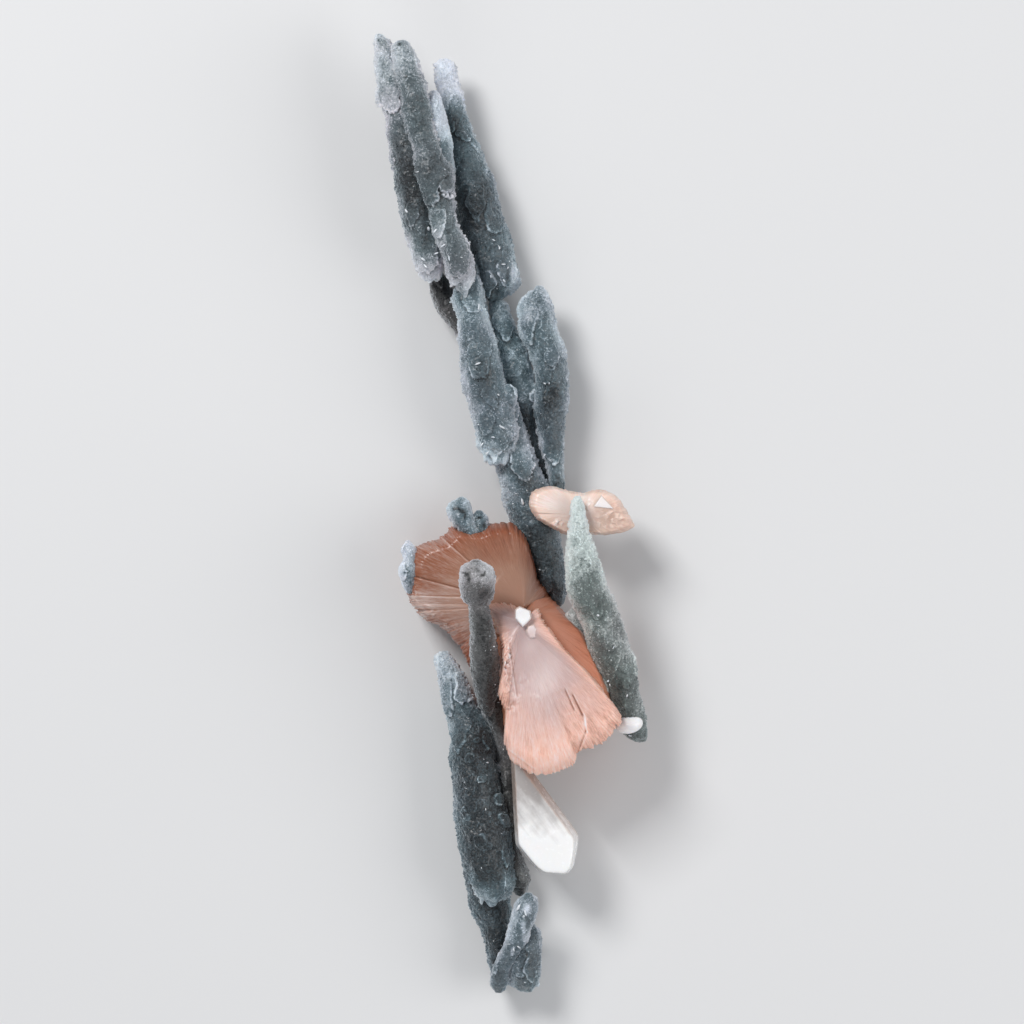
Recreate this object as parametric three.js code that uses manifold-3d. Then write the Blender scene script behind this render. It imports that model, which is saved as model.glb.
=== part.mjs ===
// A mineral specimen that lies on its back: a slender group of chalcedony stalactites which carries a
// large peach sheaf of crystals, a small bow-tie sheaf and a few white crystals.
// Millimetres, +Z up. +Y runs along the specimen to its long tips, +Z faces the viewer.
import * as THREE from 'three';
import { ConvexGeometry } from 'three/addons/geometries/ConvexGeometry.js';
import { mergeVertices } from 'three/addons/utils/BufferGeometryUtils.js';
import Module from 'manifold-3d';

const wasm = await Module();
wasm.setup();

// Driving dimensions
const GAP = 0.3;
const FINGER_SIDES = 12;
const RING_STEP = 3.1;
const LUMP_HEIGHT = 0.12;
const TIP_ROUNDNESS = 0.4;
const RIM_STEP = 2.6;
const TOOTH_HEIGHT = 0.35;
const SHOULDER = 0.5;
const THIN_EDGE = 0.4;
const SHEAF_RINGS = [0.45, 0.86, 1];
const FLOOR_BLOCK = 400;
const SMALLEST_EDGE = 0.04;

// Finishes
const CHALCEDONY = { color: 0x6f7d84, roughness: 0.55, metalness: 0 };
const DARK_CHALCEDONY = { color: 0x545b5e, roughness: 0.6, metalness: 0 };
const GREEN_CHALCEDONY = { color: 0x7f8f8b, roughness: 0.55, metalness: 0 };
const PEACH = { color: 0xd9a48c, roughness: 0.45, metalness: 0 };
const WHITE = { color: 0xe9e4df, roughness: 0.35, metalness: 0 };

// Stalactites. Each row is one level along Y, from the tip down: [y, left x, right x, middle z, half depth].
const LEFT_TOP_BACK = [
  [95.7, -26.9, -25.5, 15, 0.8],
  [94.5, -27.6, -24.3, 15, 1.6],
  [90.9, -27.3, -23.9, 15, 2],
  [86.9, -26.7, -22.9, 14.6, 2.4],
  [83.3, -26.9, -21.7, 14.4, 3],
  [79.7, -25.1, -20.5, 14.2, 3],
  [72.9, -24.1, -18.5, 14, 3.6],
  [64.9, -22.9, -16.5, 13.6, 4.2],
  [58.9, -21.7, -14.9, 13, 4.6],
  [52.9, -19.9, -13.5, 12.6, 4.6],
  [49.3, -18.7, -13.3, 12.4, 3.6],
  [47.5, -17.1, -14.5, 12.4, 1.6],
];
const LEFT_TOP_FRONT = [
  [94.1, -22.5, -20.9, 17, 0.9],
  [92.9, -23.7, -19.9, 17, 1.7],
  [89.9, -23.5, -18.5, 17.2, 2.4],
  [84.9, -22.9, -16.7, 17.6, 3],
  [78.9, -21.7, -15.3, 17.6, 3.4],
  [72.9, -20.1, -13.9, 17.4, 3.6],
  [68.5, -19.1, -11.5, 17.2, 4.2],
  [61.9, -17.1, -11.1, 16.8, 4.2],
  [56.9, -15.7, -10.1, 16.4, 4.4],
  [51.3, -13.7, -7.5, 15.6, 4.6],
  [47.7, -12.7, -7.1, 15, 3.8],
  [45.1, -10.7, -8.5, 14.6, 1.6],
];
const MIDDLE_TIP = [
  [84.3, -15.9, -14.7, 12.6, 0.8],
  [83.3, -16.5, -14.1, 12.6, 1.5],
  [78.9, -16.3, -13.1, 12.8, 2],
  [73.9, -15.7, -12.1, 13, 2.4],
  [69.9, -14.1, -11.7, 13, 1.2],
];
const RIGHT_TOP = [
  [91.3, -13.9, -12.3, 8, 0.8],
  [90.1, -15.2, -11.1, 8, 1.9],
  [86.9, -14.9, -10.7, 7.8, 2.2],
  [83.9, -14.7, -9.5, 7.4, 2.8],
  [76.9, -14.1, -7.7, 6.6, 4],
  [72.9, -13.9, -6.1, 6, 5],
  [66.9, -13.1, -3.3, 5.8, 6],
  [62.9, -12.5, -2.3, 5.8, 6.4],
  [57.3, -11.1, -0.7, 5.8, 6.6],
  [52.9, -9.9, 0.5, 5.8, 6.6],
  [48.5, -7.9, 1.7, 5.6, 6.2],
  [46.1, -6.9, 1.3, 5.6, 5],
  [43.9, -5.1, -1.3, 5.6, 2.4],
];
const BACK_STUB = [
  [48.3, -16.5, -13.3, 6, 2],
  [43.9, -15.9, -11.1, 5.4, 3],
  [40.9, -14.7, -10.1, 5, 3.2],
  [38.5, -12.9, -9.3, 5, 2.8],
  [36.9, -11.1, -9.3, 5, 1.2],
];
const STEM_BACK = [
  [50.5, -8.9, -5.3, 8, 3],
  [45.9, -10.3, -5.3, 8, 4],
  [40.9, -10.5, -4.7, 7.6, 4.6],
  [34.9, -9.5, -2.7, 7.2, 5],
  [28.9, -8.9, -1.5, 7, 5],
  [24.5, -8.1, -0.5, 6.8, 5.2],
  [21.9, -6.9, 1.7, 6.6, 5.4],
  [16.9, -5.3, 3.3, 6.2, 5.6],
  [11.9, -3.9, 4.9, 6, 5.8],
  [7.9, -2.7, 6.9, 6, 5.8],
  [4.9, -1.9, 8.3, 5.8, 5.6],
  [-1.1, -0.3, 9.5, 5.6, 5.4],
  [-6.1, 0.9, 10.1, 5.6, 5.2],
  [-12.1, 3.5, 11.1, 5.6, 4.6],
  [-15.1, 5.9, 11.3, 5.6, 3.6],
  [-16.9, 8.1, 10.7, 5.6, 1.6],
];
const STEM_FRONT = [
  [47.7, -9.7, -6.1, 11.4, 2.4],
  [42.9, -11.6, -5.7, 11.6, 3.6],
  [38.9, -10.5, -4.3, 11.6, 4],
  [32.9, -10.1, -2.7, 11.4, 4.2],
  [26.5, -9.8, -1.1, 11, 4.4],
  [22.9, -8.5, 0.1, 10.8, 4.4],
  [17.9, -7.5, 1.5, 10.6, 4.2],
  [13.9, -6.5, 1.5, 10.4, 3.6],
  [11.3, -4.9, 0.1, 10.2, 2.2],
];
const MIDDLE_FINGER = [
  [43.5, -3.9, -1.9, 6, 1.2],
  [42.1, -4.3, -0.9, 6, 2.2],
  [36.9, -3.7, 1.5, 5.6, 3.2],
  [32.9, -3.1, 3.5, 5.2, 3.6],
  [28.5, -2.3, 4.5, 5, 3.8],
  [24.1, -1.5, 4.7, 5, 3.6],
  [20.9, -0.3, 3.9, 5, 2],
];
const SIDE_STALACTITE = [
  [45.5, 4.9, 6.7, 9, 1],
  [44.3, 3.3, 7.5, 9, 2.2],
  [42.1, 1.7, 8.3, 9, 3.2],
  [38.9, 1.3, 9.1, 8.8, 4],
  [35.9, 2.1, 9.9, 8.4, 4.4],
  [32.9, 3.7, 10.9, 8, 4.6],
  [26.9, 5.9, 11.7, 7.2, 4.6],
  [22.9, 5.9, 11.5, 6.8, 4.6],
  [17.9, 5.5, 11, 6.4, 4.6],
  [12.9, 6.7, 10.5, 6, 4.2],
  [5.9, 7.9, 10.7, 6, 3.6],
  [0.5, 8.1, 10.1, 6, 1.6],
];
const RIGHT_STALACTITE = [
  [3.3, 12.7, 14, 19, 0.7],
  [1.9, 12, 14.6, 19, 1.4],
  [-1.1, 11.7, 15.1, 19, 1.8],
  [-6.7, 11.1, 16.9, 18.6, 2.8],
  [-13.1, 10.9, 19.1, 18, 3.8],
  [-17.1, 11.9, 20.5, 17.6, 4.2],
  [-21.1, 13.9, 22.1, 17, 4.2],
  [-26.1, 15.3, 23.7, 16.2, 4.2],
  [-29.5, 15.9, 24.5, 15.4, 4.2],
  [-33.1, 17.9, 25.3, 14.2, 4.2],
  [-37.1, 19.7, 26.1, 12.6, 4.4],
  [-41.5, 21.5, 27.1, 11, 4.4],
  [-44.1, 22.9, 27.7, 10.2, 3.4],
  [-45.1, 24.5, 27.5, 10, 1.6],
];
const SMALL_PALE_FINGER = [
  [-18.9, 12.1, 13.3, 13, 0.8],
  [-19.9, 11, 14.3, 13, 1.6],
  [-22.3, 11.3, 14.5, 13, 1.9],
  [-24.7, 12.5, 15.5, 13.4, 1.6],
  [-26.3, 13.7, 15.5, 14, 0.8],
];
const KNOBBED_STALACTITE = [
  [-9.3, -7.9, -5.5, 27.4, 1.2],
  [-10.3, -9.9, -3.5, 27.4, 3.2],
  [-12.3, -10.5, -2.7, 27.4, 4.2],
  [-14.3, -10.5, -2.8, 26.6, 4.2],
  [-16.3, -9.5, -3.5, 25.4, 3.4],
  [-18.1, -8.2, -4.5, 24.4, 2.6],
  [-21.1, -8.1, -3.7, 23.4, 2.7],
  [-26.1, -8.1, -2.5, 21.4, 3],
  [-31.1, -7.7, -2.2, 19, 3],
  [-35.1, -7.1, -2.6, 16.6, 2.8],
  [-38.3, -6.1, -3.3, 14.6, 2.2],
  [-39.9, -5.3, -3.9, 13.8, 1],
];
const LEFT_EDGE_FINGER = [
  [-5.5, -21.1, -19.9, 12.4, 0.6],
  [-6.7, -21.8, -18.9, 12.4, 1.4],
  [-9.1, -21.5, -18.7, 12.4, 1.6],
  [-11.3, -22.4, -18.5, 12.4, 2],
  [-13.7, -21.9, -18.7, 12.2, 1.8],
  [-15.5, -20.9, -19.3, 12, 0.8],
];
const TOP_STUB_LEFT = [
  [3.1, -10.7, -8.9, 12, 0.9],
  [2.1, -12.3, -8.1, 12, 2],
  [0.5, -12.7, -7.7, 12, 2.4],
  [-1.9, -11.5, -6.9, 12.2, 2.4],
  [-4.3, -9.9, -6.1, 12.6, 1.4],
];
const TOP_STUB_RIGHT = [
  [0.5, -7.1, -5.5, 11, 0.9],
  [-0.7, -8.1, -4.5, 11, 1.7],
  [-2.7, -7.9, -4.3, 11.4, 1.9],
  [-5.1, -7.1, -4.7, 12, 1.2],
];
const LOWER_LEFT = [
  [-27.7, -14.1, -12.7, 8, 0.8],
  [-28.7, -15.1, -11.9, 8, 1.6],
  [-31.5, -14.7, -9.7, 7.8, 2.6],
  [-35.1, -14.2, -8.1, 7.2, 3.8],
  [-39.1, -13.3, -6.1, 6.8, 5],
  [-43.1, -12.3, -2.9, 6.6, 6.2],
  [-49.1, -12.1, -3.1, 6.6, 7],
  [-55.1, -11.5, -1.9, 6.6, 7.2],
  [-61.1, -11, -0.1, 6.6, 7.3],
  [-67.1, -10.3, 0.7, 6.8, 7.3],
  [-71.5, -9.5, 0.9, 7.4, 6.4],
  [-75.1, -7.9, 0.3, 8, 4.6],
  [-77.7, -5.7, -2.3, 8.4, 2],
];
const LOWER_STEM = [
  [-69.1, -9.3, -0.5, 4.8, 4.6],
  [-74.1, -8.9, -0.5, 4.6, 4.6],
  [-79.1, -8.1, 0.1, 4.6, 4.4],
  [-83.1, -6.3, 0.3, 4.6, 4],
  [-87.1, -4.9, 0.1, 4.6, 3.4],
  [-91.1, -4.2, -1.3, 4.8, 2.4],
  [-93.5, -3.7, -2.5, 5, 1],
];
const LOWER_BACK = [
  [-36.7, -5.5, -2.1, 12, 2],
  [-39.5, -5.5, -0.9, 9.6, 4],
  [-43.1, -4.7, -0.5, 7, 5],
  [-46.1, -3.5, 1.9, 5.6, 5],
  [-49.5, -2.7, 2.9, 4.8, 4.6],
  [-54.1, -2.5, 1.3, 4.4, 4.2],
  [-59.5, -1.7, 1.4, 4.4, 3.8],
  [-65.1, -1.1, 1.3, 4.4, 3.6],
  [-69.5, -1.1, 2.5, 4.6, 4],
  [-73.1, -0.7, 3.9, 4.8, 4],
  [-75.7, 0.7, 3.1, 5, 1.8],
];
const BOTTOM_FINGER = [
  [-75.9, 2.7, 4.5, 13, 0.9],
  [-76.9, 1.3, 5.4, 13, 2],
  [-79.5, 0.4, 5.2, 12.6, 2.4],
  [-83.1, -0.5, 4.1, 12, 2.5],
  [-87.1, -1.9, 2.8, 10.6, 2.6],
  [-91.5, -3.5, 0.3, 8.8, 2.4],
  [-94.3, -4.1, -0.5, 7.6, 2],
  [-95.7, -3.1, -1.5, 7, 0.8],
];
const BOTTOM_LUMP = [
  [-82.5, 2.9, 5.1, 8, 1.6],
  [-84.1, 1.3, 6.1, 7.4, 3.6],
  [-88.1, -0.5, 6.2, 6.4, 5.6],
  [-92.1, -0.7, 5.9, 6.2, 5.4],
  [-94.3, 0.1, 5.5, 6.2, 3.8],
  [-95.5, 1.7, 4.3, 6.2, 1.6],
];

// Sheaves. A rim is walked once round its waist as [x, y]. The slab is thickest along its axis, in degrees
// from +X, and thins towards its sides; middle and half are [at the waist, at the rim].
const LARGE_SHEAF_UPPER = {
  waist: [2.7, -18.3],
  axis: 140,
  lobes: 1,
  middle: [11.5, 7.2],
  half: [5, 8],
  rim: [
    [7.1, -16.3], [5.3, -12.1], [3.7, -7.7], [1.5, -4.1], [-0.7, -1.5], [-4.1, -1.7],
    [-8.1, -2.9], [-12.1, -2.5], [-14.3, -4.7], [-18.7, -6.3], [-20.9, -9.5], [-21, -15.5],
    [-19.7, -18.3], [-17.3, -20.9], [-13.9, -22.5], [-10.7, -25.7], [-8.1, -30.7], [-3.7, -28.1],
    [-0.5, -25.1], [3.5, -21.5],
  ],
};
const LARGE_SHEAF_LOWER = {
  waist: [3.9, -19.5],
  axis: -68,
  lobes: 1,
  middle: [11.5, 9.4],
  half: [5, 10],
  rim: [
    [4.9, -14.7], [7.5, -15.1], [10.9, -19.9], [14.9, -23.7], [17.5, -29.1], [20.1, -35.5],
    [20.3, -40.3], [17.5, -44.7], [9.9, -49.5], [2.3, -49.9], [-0.9, -45.5], [-1.7, -38.3],
    [-2.7, -30.7], [-3.7, -23.5], [-0.9, -18.3],
  ],
};
const LARGE_SHEAF_BLADE = {
  waist: [1.9, -20.3],
  axis: -68,
  lobes: 1,
  middle: [19, 21],
  half: [3.4, 4.6],
  rim: [
    [-5.3, -18.3], [-3.3, -21.9], [-1.9, -25.5], [-1.5, -29.9], [-2.3, -35.1], [-1.3, -38.7],
    [-1.5, -44.7], [-0.3, -48.7], [3.5, -51.3], [8.3, -51.3], [12.3, -49.7], [13.7, -46.9],
    [18.3, -45.7], [20.3, -43.3], [21.7, -39.9], [18.9, -35.1], [15.9, -30.7], [12.7, -27.5],
    [9.9, -23.1], [7.3, -19.3], [3.5, -17.7], [-0.9, -17.3],
  ],
};
const SMALL_SHEAF = {
  waist: [13.9, -0.1],
  axis: 0,
  lobes: 2,
  middle: [12.8, 12.8],
  half: [4.4, 4],
  rim: [
    [3.7, 1.9], [4.1, 4.3], [6.1, 5.4], [8.5, 5.6], [10.9, 4.9], [13.1, 4.5],
    [14.7, 4.1], [16.3, 4.8], [19.1, 4.7], [21.3, 3.5], [23.3, 0.5], [24.5, -2.3],
    [22.3, -3.5], [18.7, -4.1], [15.9, -3.9], [13.5, -4.5], [11.1, -4.1], [7.9, -2.5],
    [5.1, -0.7],
  ],
};

// White crystals. The long one is a blade with a bevel down its right edge.
const WHITE_BLADE_OUTLINE = [
  [-0.1, -47.5], [3.1, -47.5], [4.5, -51.5], [13.7, -63.9], [13.7, -65.9], [12.7, -70.7],
  [11.3, -72.1], [6.1, -71.7], [4.3, -70.3], [0.9, -66.1], [0.7, -64.1],
];
const WHITE_BLADE_FRONT = [
  [0.9, -48.5], [2.3, -48.5], [4, -53.1], [11.9, -64.7], [12, -66.3], [11.3, -70.3],
  [6.3, -70.9], [1.9, -66.1], [1.3, -64.1],
];
const WHITE_BLADE_LEVELS = { back: 6.5, edge: 11.5, front: 15.5 };
const WHITE_OVAL = { centre: [23.9, -41.9, 14.6], half: [2.6, 1.8, 2] };
const HEXAGON = { centre: [2.3, -20.3], radius: 2.1, back: 20.4, edge: 23.4, front: 24.2, tip: 0.72 };

function solidOf(geometry) {
  for (const name of ['normal', 'uv']) {
    geometry.deleteAttribute(name);
  }
  const merged = mergeVertices(geometry);
  return new wasm.Manifold(new wasm.Mesh({
    numProp: 3,
    vertProperties: new Float32Array(merged.attributes.position.array),
    triVerts: new Uint32Array(merged.index.array),
  }));
}

function surface(points, faces) {
  const geometry = new THREE.BufferGeometry();
  geometry.setAttribute('position', new THREE.Float32BufferAttribute(points.flat(), 3));
  geometry.setIndex(faces.flat());
  return geometry;
}

// The row at height y, by a cubic through the four rows round it.
function rowAt(rows, y) {
  let k = 0;
  while (k < rows.length - 2 && rows[k + 1][0] > y) {
    k += 1;
  }
  const before = rows[Math.max(k - 1, 0)];
  const above = rows[k];
  const below = rows[k + 1];
  const after = rows[Math.min(k + 2, rows.length - 1)];
  const span = below[0] - above[0];
  const t = (y - above[0]) / span;
  return above.map((value, c) => {
    const leave = span * (below[c] - before[c]) / (below[0] - before[0]);
    const arrive = span * (after[c] - value) / (after[0] - above[0]);
    const bend = 3 * (below[c] - value) - 2 * leave - arrive;
    const twist = 2 * (value - below[c]) + leave + arrive;
    return value + t * (leave + t * (bend + t * twist));
  });
}

// Low lumps that wind round a finger, as a share of its half width.
function lump(y, angle) {
  const wide = Math.sin(0.6 * y + 2 * angle);
  const narrow = Math.sin(1.1 * y - 3 * angle + 2);
  return 1 + LUMP_HEIGHT * (0.6 * wide + 0.4 * narrow);
}

// A finger is a stack of oval rings with a rounded pole at each end.
function finger(rows, grow = 0) {
  const top = rows[1][0];
  const bottom = rows[rows.length - 2][0];
  const steps = Math.max(1, Math.round((top - bottom) / RING_STEP));
  const levels = [rows[0][0]];
  for (let i = 0; i <= steps; i += 1) {
    levels.push(top + (bottom - top) * i / steps);
  }
  levels.push(rows[rows.length - 1][0]);

  const points = [];
  const faces = [];
  levels.forEach((level, i) => {
    const [y, left, right, z, deep] = rowAt(rows, level);
    const end = i === 0 ? grow : (i === levels.length - 1 ? -grow : 0);
    for (let j = 0; j < FINGER_SIDES; j += 1) {
      const angle = 2 * Math.PI * j / FINGER_SIDES;
      const swell = lump(y, angle);
      points.push([
        (left + right) / 2 + ((right - left) / 2 * swell + grow) * Math.cos(angle),
        y + end,
        z + (deep * swell + grow) * Math.sin(angle),
      ]);
    }
  });
  for (let i = 0; i < levels.length - 1; i += 1) {
    for (let j = 0; j < FINGER_SIDES; j += 1) {
      const next = (j + 1) % FINGER_SIDES;
      const a = i * FINGER_SIDES + j;
      const b = i * FINGER_SIDES + next;
      faces.push([a, b, a + FINGER_SIDES], [b, b + FINGER_SIDES, a + FINGER_SIDES]);
    }
  }
  const first = rows[0];
  const last = rows[rows.length - 1];
  const lastRing = (levels.length - 1) * FINGER_SIDES;
  const topPole = points.push([(first[1] + first[2]) / 2, first[0] + TIP_ROUNDNESS + grow, first[3]]) - 1;
  const bottomPole = points.push([(last[1] + last[2]) / 2, last[0] - TIP_ROUNDNESS - grow, last[3]]) - 1;
  for (let j = 0; j < FINGER_SIDES; j += 1) {
    const next = (j + 1) % FINGER_SIDES;
    faces.push([topPole, next, j], [bottomPole, lastRing + j, lastRing + next]);
  }
  return solidOf(surface(points, faces));
}

// Points at even steps round a closed outline, every second one pushed out as a tooth.
function toothedRim(rim, waist) {
  const path = new THREE.CatmullRomCurve3(rim.map(([x, y]) => new THREE.Vector3(x, y, 0)), true, 'catmullrom', 0.3);
  const count = 2 * Math.round(path.getLength() / RIM_STEP / 2);
  return path.getSpacedPoints(count).slice(0, count).map((point, k) => {
    const out = new THREE.Vector3(point.x - waist[0], point.y - waist[1], 0).normalize();
    return point.addScaledVector(out, k % 2 ? TOOTH_HEIGHT : -TOOTH_HEIGHT);
  });
}

// A sheaf is a slab that opens from its waist to its rim, with a front, a back and a broken edge.
function sheaf({ waist, axis, lobes, middle, half, rim }) {
  const edge = toothedRim(rim, waist);
  const thickness = edge.map((point) => {
    const off = Math.atan2(point.y - waist[1], point.x - waist[0]) - THREE.MathUtils.degToRad(axis);
    const share = lobes === 2 ? Math.abs(Math.cos(off)) : Math.max(0, Math.cos(off));
    return THIN_EDGE + (1 - THIN_EDGE) * share;
  });
  const count = edge.length;
  const points = [];
  const faces = [];
  for (const side of [1, -1]) {
    const pole = points.push([waist[0], waist[1], middle[0] + side * half[0]]) - 1;
    for (const reach of SHEAF_RINGS) {
      edge.forEach((point, k) => {
        const blunt = reach === 1 ? 1 - SHOULDER : 1;
        const atRim = half[1] * thickness[k] * blunt;
        points.push([
          waist[0] + reach * (point.x - waist[0]),
          waist[1] + reach * (point.y - waist[1]),
          middle[0] + reach * (middle[1] - middle[0]) + side * (half[0] + reach * (atRim - half[0])),
        ]);
      });
    }
    for (let k = 0; k < count; k += 1) {
      const next = (k + 1) % count;
      const [from, to] = side > 0 ? [k, next] : [next, k];
      faces.push([pole, pole + 1 + from, pole + 1 + to]);
      for (let ring = 0; ring < SHEAF_RINGS.length - 1; ring += 1) {
        const a = pole + 1 + ring * count;
        faces.push([a + from, a + count + from, a + to], [a + to, a + count + from, a + count + to]);
      }
    }
  }
  const frontEdge = 1 + (SHEAF_RINGS.length - 1) * count;
  const backEdge = frontEdge + 1 + SHEAF_RINGS.length * count;
  for (let k = 0; k < count; k += 1) {
    const next = (k + 1) % count;
    faces.push(
      [frontEdge + k, backEdge + k, frontEdge + next],
      [frontEdge + next, backEdge + k, backEdge + next],
    );
  }
  const turnsLeft = THREE.ShapeUtils.area(edge) > 0;
  return solidOf(surface(points, turnsLeft ? faces : faces.map(([a, b, c]) => [a, c, b])));
}

function crystal(points) {
  return solidOf(new ConvexGeometry(points.map((point) => new THREE.Vector3(...point))));
}

function whiteBlade(grow = 0) {
  const { back, edge, front } = WHITE_BLADE_LEVELS;
  const middle = new THREE.Vector2(7, -60);
  const wider = ([x, y], z) => {
    const out = new THREE.Vector2(x, y).sub(middle).normalize().multiplyScalar(grow);
    return [x + out.x, y + out.y, z];
  };
  return crystal([
    ...WHITE_BLADE_OUTLINE.map((point) => wider(point, edge)),
    ...WHITE_BLADE_FRONT.map((point) => wider(point, front + grow)),
    ...WHITE_BLADE_FRONT.map((point) => wider(point, back - grow)),
  ]);
}

function whiteOval(grow = 0) {
  const geometry = new THREE.SphereGeometry(1, 12, 7);
  geometry.scale(...WHITE_OVAL.half.map((size) => size + grow));
  geometry.translate(...WHITE_OVAL.centre);
  return solidOf(geometry);
}

function hexagonCrystal(grow = 0) {
  const { centre, radius, back, edge, front, tip } = HEXAGON;
  const points = [];
  for (let k = 0; k < 6; k += 1) {
    const angle = Math.PI * (k + 0.4) / 3;
    for (const [size, z] of [[radius, back - grow], [radius, edge], [radius * tip, front + grow]]) {
      points.push([centre[0] + (size + grow) * Math.cos(angle), centre[1] + (size + grow) * Math.sin(angle), z]);
    }
  }
  return crystal(points);
}

const join = (...solids) => solids.reduce((whole, solid) => whole.add(solid));
const fingers = (grow, ...rowSets) => join(...rowSets.map((rows) => finger(rows, grow)));
const clearOf = (solid, ...neighbours) => neighbours.reduce((rest, other) => rest.subtract(other), solid);

// What the specimen rests on is worn flat where it touches the surface.
function restFlat(solid) {
  const block = new THREE.BoxGeometry(FLOOR_BLOCK, FLOOR_BLOCK, FLOOR_BLOCK);
  block.translate(0, 0, -FLOOR_BLOCK / 2);
  return solid.subtract(solidOf(block));
}

// The largest body that a cut leaves.
function whole(solid) {
  return solid.decompose().reduce((most, body) => (body.volume() > most.volume() ? body : most));
}

const leftTop = fingers(0, LEFT_TOP_BACK, LEFT_TOP_FRONT, MIDDLE_TIP);
const leftTopRoom = fingers(GAP, LEFT_TOP_BACK, LEFT_TOP_FRONT, MIDDLE_TIP);
const rightTop = clearOf(finger(RIGHT_TOP), leftTopRoom);
const rightTopRoom = finger(RIGHT_TOP, GAP);
const mainStem = clearOf(fingers(0, STEM_BACK, STEM_FRONT), leftTopRoom, rightTopRoom);
const stemRoom = fingers(GAP, STEM_BACK, STEM_FRONT);
const backStub = clearOf(finger(BACK_STUB), leftTopRoom, rightTopRoom, stemRoom);
const sideStalactite = clearOf(finger(SIDE_STALACTITE), stemRoom);
const sideRoom = finger(SIDE_STALACTITE, GAP);
const middleFinger = clearOf(finger(MIDDLE_FINGER), stemRoom, sideRoom, rightTopRoom);
const rightStalactite = clearOf(fingers(0, RIGHT_STALACTITE, SMALL_PALE_FINGER), whiteOval(GAP));
const rightRoom = fingers(GAP, RIGHT_STALACTITE, SMALL_PALE_FINGER);
const knobRoom = finger(KNOBBED_STALACTITE, GAP);
const stubRoom = fingers(GAP, TOP_STUB_LEFT, TOP_STUB_RIGHT);
const lowerLeftRoom = fingers(GAP, LOWER_LEFT, LOWER_STEM);
const lowerBack = clearOf(finger(LOWER_BACK), knobRoom, lowerLeftRoom, whiteBlade(GAP));
const lowerBackRoom = finger(LOWER_BACK, GAP);
const largeSheaf = clearOf(
  join(sheaf(LARGE_SHEAF_UPPER), sheaf(LARGE_SHEAF_LOWER), sheaf(LARGE_SHEAF_BLADE)),
  stemRoom,
  rightRoom,
  knobRoom,
  stubRoom,
  lowerLeftRoom,
  lowerBackRoom,
  finger(LEFT_EDGE_FINGER, GAP),
  whiteBlade(GAP),
  hexagonCrystal(GAP),
);
const bottomRoom = finger(BOTTOM_FINGER, GAP);
const lowerLeft = clearOf(fingers(0, LOWER_LEFT, LOWER_STEM), whiteBlade(GAP), bottomRoom);
const bottomLump = clearOf(finger(BOTTOM_LUMP), bottomRoom, lowerLeftRoom);

const PIECES = [
  ['left_top_stalactites', leftTop, CHALCEDONY],
  ['right_top_stalactite', rightTop, CHALCEDONY],
  ['back_stub', backStub, DARK_CHALCEDONY],
  ['main_stem', mainStem, CHALCEDONY],
  ['middle_finger', middleFinger, CHALCEDONY],
  ['side_stalactite', sideStalactite, CHALCEDONY],
  ['small_sheaf', clearOf(sheaf(SMALL_SHEAF), stemRoom, sideRoom, rightRoom), PEACH],
  ['right_stalactite', rightStalactite, GREEN_CHALCEDONY],
  ['white_oval_crystal', whiteOval(), WHITE],
  ['large_sheaf', largeSheaf, PEACH],
  ['small_white_crystal', hexagonCrystal(), WHITE],
  ['knobbed_stalactite', finger(KNOBBED_STALACTITE), CHALCEDONY],
  ['left_edge_finger', finger(LEFT_EDGE_FINGER), CHALCEDONY],
  ['top_stub', fingers(0, TOP_STUB_LEFT, TOP_STUB_RIGHT), CHALCEDONY],
  ['lower_left_stalactite', lowerLeft, CHALCEDONY],
  ['lower_back_stalactite', lowerBack, DARK_CHALCEDONY],
  ['white_crystal', whiteBlade(), WHITE],
  ['bottom_finger', finger(BOTTOM_FINGER), CHALCEDONY],
  ['bottom_lump', bottomLump, CHALCEDONY],
];

function meshOf(name, solid, finish) {
  const { vertProperties, triVerts } = whole(restFlat(solid)).simplify(SMALLEST_EDGE).getMesh();
  const geometry = new THREE.BufferGeometry();
  geometry.setAttribute('position', new THREE.BufferAttribute(vertProperties, 3));
  geometry.setIndex(new THREE.BufferAttribute(triVerts, 1));
  geometry.computeVertexNormals();
  const mesh = new THREE.Mesh(geometry, new THREE.MeshStandardMaterial(finish));
  mesh.name = name;
  return mesh;
}

const specimen = new THREE.Group();
for (const [name, solid, finish] of PIECES) {
  specimen.add(meshOf(name, solid, finish));
}

export default specimen;
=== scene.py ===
import math

import bpy
import numpy as np
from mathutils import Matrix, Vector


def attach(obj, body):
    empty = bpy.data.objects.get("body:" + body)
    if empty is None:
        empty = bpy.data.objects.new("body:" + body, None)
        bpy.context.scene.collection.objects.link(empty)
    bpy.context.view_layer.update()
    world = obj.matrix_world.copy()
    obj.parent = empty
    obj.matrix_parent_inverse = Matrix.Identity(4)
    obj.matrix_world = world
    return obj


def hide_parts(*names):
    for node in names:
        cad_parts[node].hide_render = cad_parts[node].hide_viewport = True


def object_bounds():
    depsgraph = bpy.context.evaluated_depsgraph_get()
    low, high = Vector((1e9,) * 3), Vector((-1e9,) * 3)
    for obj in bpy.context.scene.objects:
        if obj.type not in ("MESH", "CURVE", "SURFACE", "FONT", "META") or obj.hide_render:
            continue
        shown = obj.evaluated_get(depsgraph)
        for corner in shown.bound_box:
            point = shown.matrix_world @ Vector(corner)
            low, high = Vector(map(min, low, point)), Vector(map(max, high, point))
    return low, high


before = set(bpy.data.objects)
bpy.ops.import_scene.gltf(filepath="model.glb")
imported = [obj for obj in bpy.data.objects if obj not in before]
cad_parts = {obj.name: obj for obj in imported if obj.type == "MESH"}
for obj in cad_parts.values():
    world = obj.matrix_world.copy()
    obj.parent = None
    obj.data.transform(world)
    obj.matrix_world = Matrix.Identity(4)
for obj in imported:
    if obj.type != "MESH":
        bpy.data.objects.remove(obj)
cad_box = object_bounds()

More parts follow.
